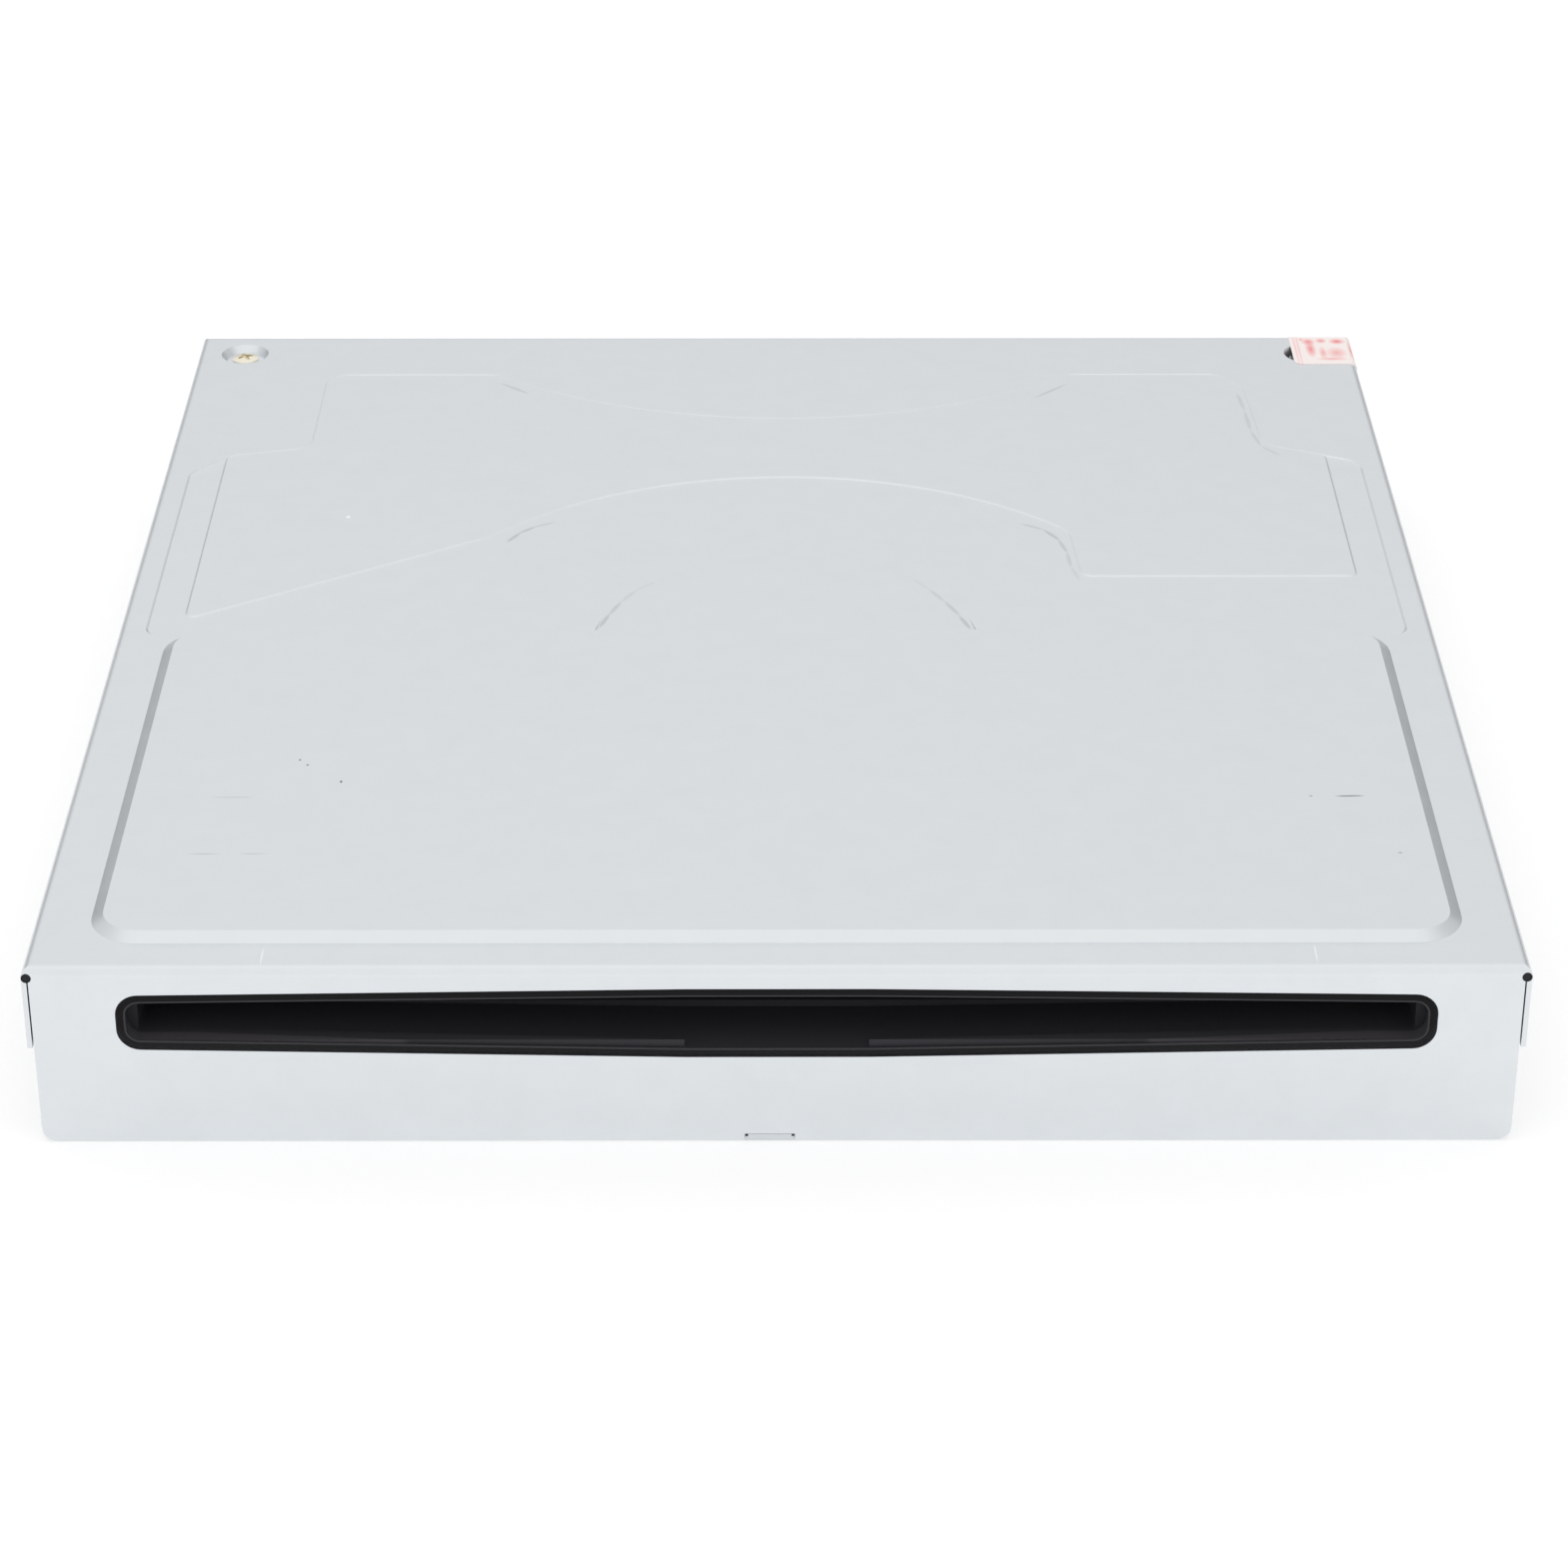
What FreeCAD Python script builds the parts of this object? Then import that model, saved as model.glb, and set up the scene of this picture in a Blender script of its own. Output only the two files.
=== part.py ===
import FreeCAD, Part
import math
import os

os.makedirs("parts", exist_ok=True)

Vector = FreeCAD.Vector
TO_RIGHT = Vector(1, 0, 0)
TO_BACK = Vector(0, 1, 0)
UP = Vector(0, 0, 1)
DOWN = Vector(0, 0, -1)

# Slot-loading disc drive of a games console.
# X runs to the right, Y to the back and Z up, with the origin under the middle of the case.
# Sizes are in millimetres. "Back" is a distance from the front face.

# Case
WIDTH = 146.0
DEPTH = 154.2
RIM_HEIGHT = 19.9
SHEET = 0.5
BEND_RADIUS = 0.9
SHEET_GAP = 0.1
SIDE_FLANGE_DEPTH = 9.0
REAR_FLANGE_DEPTH = 5.0
CORNER_GAP = 0.15
CORNER_RELIEF_RADIUS = 0.5
FLANGE_FOOT_RADIUS = 1.6

FRONT = -DEPTH / 2
HALF_WIDTH = WIDTH / 2

# Pressed steps of the cover
PLATEAU_STEP = 0.8
PLATEAU_SLOPE = 1.2
PLATEAU_HALF_WIDTH = HALF_WIDTH - 5.6
PLATEAU_FRONT_BACK = 4.8
PLATEAU_REAR_BACK = 71.5
PLATEAU_CORNER = 5.0
BOSS_SLOPE = 0.5
RECESS_DEPTH = 0.14
TERRACE_STEP = 0.1
STEP_SLOPE = 0.22

# Disc and where it lies
DISC_RADIUS = 60.0
DISC_THICKNESS = 1.2
DISC_UNDERSIDE = 13.2
SPINDLE_BACK = 68.0

# Slot through the front face
SLOT_HALF_WIDTH = HALF_WIDTH - 8.8
SLOT_TOP_END = 16.9
SLOT_TOP_MIDDLE = 17.6
SLOT_BOTTOM_END = 10.75
SLOT_BOTTOM_MIDDLE = 9.8
SLOT_LEVEL_HALF = 9.0
SLOT_CORNER = 2.3
BEZEL_GAP = 0.12
BEZEL_LIP = 0.85
BEZEL_SINK = 0.1
BEZEL_FLANGE = 1.5
BEZEL_WALL = 1.2
BEZEL_DEPTH = 8.0
THROAT_HALF_WIDTH = SLOT_HALF_WIDTH - 1.8
FELT_THICKNESS = 0.7

# Cover screws at the rear corners
COVER_SCREW_X = HALF_WIDTH - 5.9
COVER_SCREW_BACK = DEPTH - 5.6
DIMPLE_RADIUS = 3.2
DIMPLE_FLOOR_RADIUS = 2.25
DIMPLE_DEPTH = 0.8
COVER_SCREW_HEAD = 2.0
COVER_SCREW_RADIUS = 0.95
SCREW_GAP = 0.1

# Tab of the chassis in the notch of the front face
TAB_X = -0.7
TAB_WIDTH = 4.8
NOTCH_HEIGHT = 0.85

# Side mounting holes
MOUNT_HOLE_RADIUS = 1.25
MOUNT_HOLE_HEIGHT = 5.5
MOUNT_HOLE_FRONT_BACK = 40.0
MOUNT_HOLE_PITCH = 80.0
COLLAR_WALL = 0.6
COLLAR_DEPTH = 1.0

# Running gaps
SHAFT_GAP = 0.05

CHASSIS_HALF_WIDTH = HALF_WIDTH - SHEET - SHEET_GAP
CHASSIS_FRONT_BACK = SHEET + SHEET_GAP
CHASSIS_REAR_BACK = DEPTH - SHEET - SHEET_GAP
CHASSIS_TOP = RIM_HEIGHT - SHEET - SHEET_GAP
FLOOR = SHEET


def at(x, back, z):
    """Point at x, a distance back from the front face, and height z."""
    return Vector(x, FRONT + back, z)


def box(x, back, z):
    """Block between the low and high values on each axis."""
    return Part.makeBox(x[1] - x[0], back[1] - back[0], z[1] - z[0], at(x[0], back[0], z[0]))


def rod(radius, start, axis, length):
    """Round bar from start along axis."""
    return Part.makeCylinder(radius, length, start, axis)


def tube(outer, inner, start, axis, length):
    """Round bar with a bore right through it."""
    return rod(outer, start, axis, length).cut(rod(inner, start, axis, length))


def mirrored(shape):
    """The same shape on the other side of the middle plane."""
    return shape.mirror(Vector(0, 0, 0), TO_RIGHT)


def outline(corners, place):
    """Closed wire through (u, v, radius) corners, each rounded where its radius is above zero."""
    starts = []
    middles = []
    ends = []
    for i, (u, v, radius) in enumerate(corners):
        here = Vector(u, v, 0)
        last_u, last_v, last_radius = corners[i - 1]
        next_u, next_v, next_radius = corners[(i + 1) % len(corners)]
        to_last = (Vector(last_u, last_v, 0) - here).normalize()
        to_next = (Vector(next_u, next_v, 0) - here).normalize()
        half_angle = to_last.getAngle(to_next) / 2
        reach = radius / math.tan(half_angle)
        inward = (to_last + to_next).normalize()
        starts.append(here + to_last * reach)
        ends.append(here + to_next * reach)
        middles.append(here + inward * (radius / math.sin(half_angle) - radius))
    edges = []
    for i, (u, v, radius) in enumerate(corners):
        if radius > 0:
            points = [place(p.x, p.y) for p in (starts[i], middles[i], ends[i])]
            edges.append(Part.Arc(*points).toShape())
        after = starts[(i + 1) % len(corners)]
        if (after - ends[i]).Length > 1e-6:
            line = Part.LineSegment(place(ends[i].x, ends[i].y), place(after.x, after.y))
            edges.append(line.toShape())
    return Part.Wire(edges)


def plan_wire(corners, z):
    """Outline seen from above, its points given as x and distance back."""
    return outline(corners, lambda x, back: at(x, back, z))


def slab(corners, z):
    """Plate with an outline seen from above, between two heights."""
    return Part.Face(plan_wire(corners, z[0])).extrude(UP * (z[1] - z[0]))


def panel(corners, back):
    """Plate with an outline seen from the front, its points given as x and z."""
    wire = outline(corners, lambda x, z: at(x, back[0], z))
    return Part.Face(wire).extrude(TO_BACK * (back[1] - back[0]))


def cheek(corners, x):
    """Plate with an outline seen from the side, its points given as distance back and z."""
    wire = outline(corners, lambda back, z: at(x[0], back, z))
    return Part.Face(wire).extrude(TO_RIGHT * (x[1] - x[0]))


def rectangle(x, back, radius):
    """Corners of a rectangle, each with the same radius."""
    return [
        (x[0], back[0], radius),
        (x[1], back[0], radius),
        (x[1], back[1], radius),
        (x[0], back[1], radius),
    ]


def pressed(corners, z, slope):
    """Step pressed in a sheet: its outline at the first height shrinks by slope at the second."""
    foot = plan_wire(corners, z[0])
    crown = foot.makeOffset2D(-slope)
    crown.translate(UP * (z[1] - z[0]))
    return Part.makeLoft([foot, crown], True, True)


def turned(profile, centre):
    """Solid of revolution about an upright axis through centre, from (radius, z) points."""
    points = [Vector(centre.x + radius, centre.y, z) for radius, z in profile]
    face = Part.Face(Part.makePolygon(points + points[:1]))
    return face.revolve(centre, UP, 360)


def save(name, shape):
    """Write one sub-part."""
    shape.exportStep("parts/" + name + ".step")


# Cover

RECESS_HALF_WIDTH = HALF_WIDTH - 3.0
RECESS_REAR_BACK = DEPTH - 12.0
RECESS_SHOULDER_BACK = DEPTH - 36.0
RECESS_NECK_LEFT = RECESS_HALF_WIDTH - 14.0
RECESS_NECK_RIGHT = RECESS_HALF_WIDTH - 12.0
ARCH_X = 0.8
ARCH_RADIUS = 54.5
ARCH_DEPTH = 28.5
ARCH_REACH = 35.8
TERRACE_HALF_WIDTH = HALF_WIDTH - 6.9
TERRACE_FRONT_BACK = 85.3
TERRACE_NECK_X = 33.8
TERRACE_RADIUS = 43.9
BOSS_RADIUS = 21.5
BOSS_X = 1.0

recess_corners = [
    (RECESS_HALF_WIDTH, PLATEAU_REAR_BACK - 1.0, 2.0),
    (RECESS_HALF_WIDTH, RECESS_SHOULDER_BACK - 2.0, 3.0),
    (RECESS_NECK_RIGHT + 0.8, RECESS_SHOULDER_BACK + 3.0, 3.5),
    (RECESS_NECK_RIGHT, RECESS_REAR_BACK - 4.5, 3.0),
    (RECESS_NECK_RIGHT - 3.0, RECESS_REAR_BACK, 2.5),
    (ARCH_X + ARCH_REACH, RECESS_REAR_BACK, 2.0),
    (ARCH_X, RECESS_REAR_BACK - ARCH_DEPTH, ARCH_RADIUS),
    (ARCH_X - ARCH_REACH, RECESS_REAR_BACK, 2.0),
    (-RECESS_NECK_LEFT, RECESS_REAR_BACK, 3.0),
    (-RECESS_NECK_LEFT - 0.2, RECESS_SHOULDER_BACK + 2.2, 3.0),
    (-RECESS_HALF_WIDTH + 4.0, RECESS_SHOULDER_BACK - 0.2, 3.0),
    (-RECESS_HALF_WIDTH, RECESS_SHOULDER_BACK - 5.0, 3.0),
    (-RECESS_HALF_WIDTH, PLATEAU_REAR_BACK - 1.0, 2.0),
]
terrace_peak = SPINDLE_BACK + TERRACE_RADIUS * math.sqrt(2)
terrace_neck_back = terrace_peak - (TERRACE_NECK_X - BOSS_X)
terrace_corners = [
    (TERRACE_HALF_WIDTH, TERRACE_FRONT_BACK, 1.0),
    (TERRACE_HALF_WIDTH, RECESS_REAR_BACK, 1.0),
    (-TERRACE_HALF_WIDTH, RECESS_REAR_BACK, 1.0),
    (-TERRACE_HALF_WIDTH, PLATEAU_REAR_BACK + 3.0, 1.0),
    (-TERRACE_NECK_X, terrace_peak - TERRACE_NECK_X - BOSS_X, 6.0),
    (BOSS_X, terrace_peak, TERRACE_RADIUS),
    (TERRACE_NECK_X, terrace_neck_back, 3.8),
    (TERRACE_NECK_X + 0.8, TERRACE_FRONT_BACK, 1.5),
]


def under_cover_surface(inset, bend, drop):
    """Everything below the cover's face, with the face lowered by drop and its edge moved in."""
    top = RIM_HEIGHT - drop
    x = (-HALF_WIDTH + inset, HALF_WIDTH - inset)
    back = (inset, DEPTH - inset)
    block = box(x, back, (-1.0, top))
    rims = [e for e in block.Edges if abs(e.CenterOfMass.z - top) < 1e-6]
    block = block.makeFillet(bend, rims)
    block = block.cut(pressed(recess_corners, (top, top - RECESS_DEPTH), STEP_SLOPE))
    ground = top - RECESS_DEPTH
    terrace = pressed(terrace_corners, (ground, ground + TERRACE_STEP), STEP_SLOPE)
    run = PLATEAU_SLOPE / PLATEAU_STEP
    spread = run * RECESS_DEPTH
    plateau_foot = rectangle(
        (-PLATEAU_HALF_WIDTH - spread, PLATEAU_HALF_WIDTH + spread),
        (PLATEAU_FRONT_BACK - spread, PLATEAU_REAR_BACK + spread),
        PLATEAU_CORNER + spread,
    )
    plateau = pressed(plateau_foot, (ground, top + PLATEAU_STEP), PLATEAU_SLOPE + spread)
    boss_spread = BOSS_SLOPE / PLATEAU_STEP * RECESS_DEPTH
    boss = Part.makeCone(
        BOSS_RADIUS + boss_spread,
        BOSS_RADIUS - BOSS_SLOPE,
        PLATEAU_STEP + RECESS_DEPTH,
        at(BOSS_X, SPINDLE_BACK, ground),
    )
    return block.fuse([terrace, plateau, boss])


def slot_corners(inset):
    """Outline of the slot seen from the front, bowed above and below, moved in by inset."""
    half = SLOT_HALF_WIDTH - inset
    top_end = SLOT_TOP_END - inset
    top_middle = SLOT_TOP_MIDDLE - inset
    bottom_end = SLOT_BOTTOM_END + inset
    bottom_middle = SLOT_BOTTOM_MIDDLE + inset
    corner = max(SLOT_CORNER - inset, 0.3)
    bend = 20.0
    return [
        (half, bottom_end, corner),
        (half, top_end, corner),
        (SLOT_LEVEL_HALF, top_middle, bend),
        (-SLOT_LEVEL_HALF, top_middle, bend),
        (-half, top_end, corner),
        (-half, bottom_end, corner),
        (-SLOT_LEVEL_HALF, bottom_middle, bend),
        (SLOT_LEVEL_HALF, bottom_middle, bend),
    ]


def make_cover():
    """Sheet cover: pressed top, full front flange, short side and rear flanges."""
    outer = under_cover_surface(0.0, BEND_RADIUS, 0.0)
    inner = under_cover_surface(SHEET, BEND_RADIUS - SHEET, SHEET)
    cover = outer.cut(inner)
    side_foot = RIM_HEIGHT - SIDE_FLANGE_DEPTH
    rear_foot = RIM_HEIGHT - REAR_FLANGE_DEPTH
    front_edge = HALF_WIDTH - SHEET - CORNER_GAP
    cuts = [
        box((-WIDTH, WIDTH), (-5.0, DEPTH + 5.0), (-2.0, SHEET_GAP)),
        box((-WIDTH, WIDTH), (SHEET, DEPTH + 5.0), (-2.0, rear_foot)).cut(
            box((-WIDTH, WIDTH), (-5.0, DEPTH - 12.0), (side_foot, RIM_HEIGHT))
        ),
    ]
    for side in (-1, 1):
        gap = sorted((side * front_edge, side * (HALF_WIDTH - SHEET)))
        corner = sorted((side * front_edge, side * WIDTH))
        relief_z = RIM_HEIGHT - BEND_RADIUS - CORNER_GAP
        cuts.append(box(gap, (-5.0, SHEET + SHEET_GAP), (-2.0, relief_z)))
        cuts.append(box(corner, (-5.0, SHEET + SHEET_GAP), (-2.0, side_foot)))
        relief_x = side * (HALF_WIDTH - SHEET)
        cuts.append(rod(CORNER_RELIEF_RADIUS, at(relief_x, -1.0, relief_z), TO_BACK, 1.0 + SHEET * 2))
        rear_gap = box(corner, (DEPTH - SHEET, DEPTH + 5.0), (-2.0, relief_z))
        cuts.append(rear_gap)
    cuts.append(panel(slot_corners(0.0), (-1.0, SHEET + SHEET_GAP)))
    notch = (TAB_X - TAB_WIDTH / 2 - SHEET_GAP, TAB_X + TAB_WIDTH / 2 + SHEET_GAP)
    cuts.append(box(notch, (-1.0, SHEET + SHEET_GAP), (-2.0, NOTCH_HEIGHT)))
    for side in (-1, 1):
        centre = at(side * COVER_SCREW_X, COVER_SCREW_BACK, 0.0)
        hole = rod(DIMPLE_RADIUS, centre + UP * (RIM_HEIGHT - 2.0), UP, 3.0)
        cuts.append(hole)
    cover = cover.cut(cuts)
    dishes = []
    for side in (-1, 1):
        centre = at(side * COVER_SCREW_X, COVER_SCREW_BACK, 0.0)
        floor = RIM_HEIGHT - DIMPLE_DEPTH
        dish = turned(
            [
                (COVER_SCREW_RADIUS + SCREW_GAP, floor),
                (DIMPLE_FLOOR_RADIUS, floor),
                (DIMPLE_RADIUS - 0.25, RIM_HEIGHT),
                (DIMPLE_RADIUS, RIM_HEIGHT),
                (DIMPLE_RADIUS, RIM_HEIGHT - SHEET),
                (DIMPLE_FLOOR_RADIUS + SHEET, floor - SHEET),
                (COVER_SCREW_RADIUS + SCREW_GAP, floor - SHEET),
            ],
            centre,
        )
        dishes.append(dish)
    cover = cover.fuse(dishes)
    feet = []
    for edge in cover.Edges:
        middle = edge.CenterOfMass
        on_foot = abs(middle.z - SHEET_GAP) < 1e-4 and abs(edge.Length - SHEET) < 1e-4
        if on_foot and abs(middle.x) > front_edge - 0.01:
            feet.append(edge)
    for edge in cover.Edges:
        a, b = edge.Vertexes[0].Point, edge.Vertexes[-1].Point
        across = abs(a.y - b.y) > SHEET - 1e-4 and abs(a.z - b.z) < 1e-6 and abs(a.x - b.x) < 1e-6
        if across and abs(a.z - SHEET_GAP) < 1e-4 and abs(abs(a.x) - front_edge) < 1e-4:
            if not any(edge.isSame(foot) for foot in feet):
                feet.append(edge)
    if feet:
        cover = cover.makeFillet(FLANGE_FOOT_RADIUS, feet)
    return cover


cover = make_cover()
save("top_cover", cover)


# Chassis

EAR_TOP = RIM_HEIGHT - DIMPLE_DEPTH - SHEET
EAR_SIZE = 9.0
PAD_HEIGHT = 1.0
SIGNAL_CONNECTOR_X = 24.0
SIGNAL_CONNECTOR_WIDTH = 30.0
SIGNAL_CONNECTOR_HEIGHT = 2.6
POWER_CONNECTOR_X = -38.0
POWER_CONNECTOR_WIDTH = 14.0
POWER_CONNECTOR_HEIGHT = 6.0
CONNECTOR_GAP = 0.5
BOARD_HALF_WIDTH = HALF_WIDTH - 13.0
BOARD_FRONT_BACK = DEPTH - 50.2
BOARD_REAR_BACK = DEPTH - 1.8
BOARD_THICKNESS = 1.0
BOARD_BOTTOM = FLOOR + PAD_HEIGHT
BOARD_TOP = BOARD_BOTTOM + BOARD_THICKNESS
BOARD_SCREW_X = BOARD_HALF_WIDTH - 6.0
BOARD_SCREW_BACKS = (BOARD_FRONT_BACK + 4.0, BOARD_REAR_BACK - 5.4)
BOARD_SCREWS = [(side * BOARD_SCREW_X, back) for back in BOARD_SCREW_BACKS for side in (-1, 1)]
BOARD_SCREW_RADIUS = 0.9
BOARD_SCREW_HEAD = 2.2
GUIDE_SCREW_X = HALF_WIDTH - 5.4
GUIDE_SCREW_BACKS = (48.0, 128.0)
GUIDE_SCREWS = [(side * GUIDE_SCREW_X, back) for back in GUIDE_SCREW_BACKS for side in (-1, 1)]
GUIDE_WINDOW_REAR = 44.0
GUIDE_SCREW_RADIUS = 1.0
GUIDE_SCREW_LENGTH = 6.0
GUIDE_SCREW_HOLE_DEPTH = 7.5
GUIDE_SCREW_HEAD = 2.0


def make_chassis():
    """Folded tray: floor, side walls and rear wall, with ears for the cover screws."""
    x = (-CHASSIS_HALF_WIDTH, CHASSIS_HALF_WIDTH)
    block = box(x, (CHASSIS_FRONT_BACK - 5.0, CHASSIS_REAR_BACK), (0.0, CHASSIS_TOP))
    bends = []
    for edge in block.Edges:
        middle = edge.CenterOfMass
        if abs(middle.z) < 1e-6 and middle.y > FRONT:
            bends.append(edge)
    block = block.makeFillet(BEND_RADIUS, bends)
    hollow = box(
        (x[0] + SHEET, x[1] - SHEET),
        (CHASSIS_FRONT_BACK - 10.0, CHASSIS_REAR_BACK - SHEET),
        (FLOOR, CHASSIS_TOP + 5.0),
    )
    bends = []
    for edge in hollow.Edges:
        middle = edge.CenterOfMass
        if abs(middle.z - FLOOR) < 1e-6 and middle.y > FRONT:
            bends.append(edge)
    hollow = hollow.makeFillet(BEND_RADIUS - SHEET, bends)
    tray = block.cut(hollow)
    tray = tray.cut(box((-WIDTH, WIDTH), (-DEPTH, CHASSIS_FRONT_BACK), (-1.0, RIM_HEIGHT)))
    additions = [
        box(
            (TAB_X - TAB_WIDTH / 2, TAB_X + TAB_WIDTH / 2),
            (BEZEL_SINK, CHASSIS_FRONT_BACK + 0.1),
            (0.0, FLOOR),
        )
    ]
    cuts = []
    for side in (-1, 1):
        ear_x = sorted((side * (CHASSIS_HALF_WIDTH - EAR_SIZE), side * (CHASSIS_HALF_WIDTH - SHEET)))
        ear = box(
            ear_x, (CHASSIS_REAR_BACK - EAR_SIZE, CHASSIS_REAR_BACK - 0.4), (EAR_TOP - SHEET, EAR_TOP)
        )
        collar = rod(
            COVER_SCREW_RADIUS + 0.8, at(side * COVER_SCREW_X, COVER_SCREW_BACK, EAR_TOP - 1.6), UP, 1.6
        )
        additions += [ear, collar]
        thread = rod(COVER_SCREW_RADIUS, at(side * COVER_SCREW_X, COVER_SCREW_BACK, EAR_TOP - 3.0), UP, 5.0)
        cuts.append(thread)
        for hole_back in (MOUNT_HOLE_FRONT_BACK, MOUNT_HOLE_FRONT_BACK + MOUNT_HOLE_PITCH):
            inside = side * (CHASSIS_HALF_WIDTH - SHEET - COLLAR_DEPTH)
            start = at(inside, hole_back, MOUNT_HOLE_HEIGHT)
            outward = TO_RIGHT * side
            additions.append(rod(MOUNT_HOLE_RADIUS + COLLAR_WALL, start, outward, COLLAR_DEPTH + SHEET / 2))
            cuts.append(rod(MOUNT_HOLE_RADIUS, start - outward, outward, 5.0))
    for pad_x, pad_back in BOARD_SCREWS:
        pad = Part.makeCone(3.6, 2.6, PAD_HEIGHT, at(pad_x, pad_back, FLOOR))
        additions.append(pad)
        cuts.append(Part.makeCone(3.6 - SHEET, 2.6 - SHEET, PAD_HEIGHT, at(pad_x, pad_back, 0.0)))
        cuts.append(rod(BOARD_SCREW_RADIUS, at(pad_x, pad_back, -1.0), UP, 5.0))
    for screw_x, screw_back in GUIDE_SCREWS:
        cuts.append(
            Part.makeCone(GUIDE_SCREW_HEAD, GUIDE_SCREW_RADIUS, FLOOR, at(screw_x, screw_back, 0.0))
        )
    for middle, width, height in (
        (SIGNAL_CONNECTOR_X, SIGNAL_CONNECTOR_WIDTH, SIGNAL_CONNECTOR_HEIGHT),
        (POWER_CONNECTOR_X, POWER_CONNECTOR_WIDTH, POWER_CONNECTOR_HEIGHT),
    ):
        half = width / 2 + CONNECTOR_GAP
        corners = [
            (middle - half, BOARD_TOP - CONNECTOR_GAP, 0.8),
            (middle + half, BOARD_TOP - CONNECTOR_GAP, 0.8),
            (middle + half, BOARD_TOP + height + CONNECTOR_GAP, 0.8),
            (middle - half, BOARD_TOP + height + CONNECTOR_GAP, 0.8),
        ]
        cuts.append(panel(corners, (CHASSIS_REAR_BACK - 1.0, CHASSIS_REAR_BACK + 1.0)))
    for column in range(4):
        vent_x = 2.0 - column * 5.0
        corners = rectangle((vent_x - 1.0, vent_x + 1.0), (6.0, 14.0), 0.9)
        cuts.append(panel(corners, (CHASSIS_REAR_BACK - 1.0, CHASSIS_REAR_BACK + 1.0)))
    return tray.fuse(additions).cut(cuts)


save("bottom_chassis", make_chassis())


# Bezel

RAMP_DEPTH = 2.4


def make_bezel():
    """Moulded funnel behind the slot: a lip in the aperture, a flange, side walls and low ramps."""
    lip = panel(slot_corners(BEZEL_GAP), (BEZEL_SINK, SHEET + 1.0))
    rims = [e for e in lip.Edges if all(abs(v.Y - FRONT - BEZEL_SINK) < 1e-6 for v in e.Vertexes)]
    lip = lip.makeFillet(0.3, rims)
    flange = panel(slot_corners(-BEZEL_FLANGE), (SHEET, SHEET + 1.0))
    body = panel(slot_corners(BEZEL_LIP - BEZEL_WALL), (SHEET, BEZEL_DEPTH))
    opening = panel(slot_corners(BEZEL_LIP), (-1.0, BEZEL_DEPTH + 1.0))
    bezel = lip.fuse([flange, body]).cut(opening)
    fillers = []
    low = SLOT_BOTTOM_END + BEZEL_LIP
    inner = SLOT_HALF_WIDTH - BEZEL_LIP
    for side in (-1, 1):
        corners = [
            (side * (inner + 0.4), BEZEL_SINK + 0.35, 0.0),
            (side * SLOT_LEVEL_HALF, BEZEL_SINK + 0.35, 0.0),
            (side * (inner * 0.5), BEZEL_SINK + 0.35 + RAMP_DEPTH * 0.45, 60.0),
            (side * (inner + 0.4), BEZEL_SINK + 0.35 + RAMP_DEPTH, 0.0),
        ]
        ramp = slab(corners, (SLOT_BOTTOM_MIDDLE, low))
        slope = [
            (BEZEL_SINK, low - 0.05, 0.0),
            (BEZEL_SINK + 0.35 + RAMP_DEPTH, low, 0.0),
            (BEZEL_SINK + 0.35 + RAMP_DEPTH, low + 3.0, 0.0),
            (BEZEL_SINK, low + 3.0, 0.0),
        ]
        ramp = ramp.cut(cheek(slope, (-HALF_WIDTH, HALF_WIDTH)))
        fillers.append(ramp)
        end_x = sorted((side * THROAT_HALF_WIDTH, side * (inner + 0.3)))
        fillers.append(box(end_x, (RAMP_DEPTH, BEZEL_DEPTH), (low - 0.2, SLOT_TOP_END - BEZEL_LIP + 0.2)))
        rib_x = sorted((side * (THROAT_HALF_WIDTH - 0.9), side * (THROAT_HALF_WIDTH + 0.1)))
        fillers.append(
            box(rib_x, (RAMP_DEPTH + 1.0, BEZEL_DEPTH - 1.0), (14.2, SLOT_TOP_END - BEZEL_LIP + 0.2))
        )
    under = panel(slot_corners(BEZEL_LIP - BEZEL_WALL), (SHEET, BEZEL_DEPTH))
    fillers = [
        f.common(under.fuse(panel(slot_corners(BEZEL_GAP), (BEZEL_SINK, SHEET + 1.0)))) for f in fillers
    ]
    return bezel.fuse(fillers)


save("slot_bezel", make_bezel())

felt_half = THROAT_HALF_WIDTH
upper_felt = box((-felt_half, felt_half), (BEZEL_DEPTH, BEZEL_DEPTH + FELT_THICKNESS), (16.2, 17.6))
lower_felt = box((-felt_half, felt_half), (BEZEL_DEPTH, BEZEL_DEPTH + FELT_THICKNESS), (9.9, 11.4))
save("upper_felt", upper_felt)
save("lower_felt", lower_felt)


# Cover screws and tamper seal

SEAL_X = HALF_WIDTH - 7.8
SEAL_BACK = DEPTH - 9.1
SEAL_THICKNESS = 0.1
SEAL_CORNER = 1.0
RECESS_OF_DRIVE = 0.5


def screw(head, shank, length, head_height, centre, direction):
    """Cheese-head screw with a cross recess; centre is under its head and direction leads to its tip."""
    body = rod(head, centre, direction * -1, head_height).fuse(rod(shank, centre, direction, length))
    top = centre - direction * head_height
    for axis in (TO_RIGHT, TO_BACK):
        if abs(direction.dot(axis)) > 0.5:
            axis = UP
        wide = direction.cross(axis) * (head * 0.13)
        far = axis * (head * 0.6)
        depth = direction * min(RECESS_OF_DRIVE, head_height * 0.7)
        ring = [top - far - wide, top + far - wide, top + far + wide, top - far + wide]
        bar = Part.Face(Part.makePolygon(ring + ring[:1])).extrude(depth)
        body = body.cut(bar)
    return body


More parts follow.
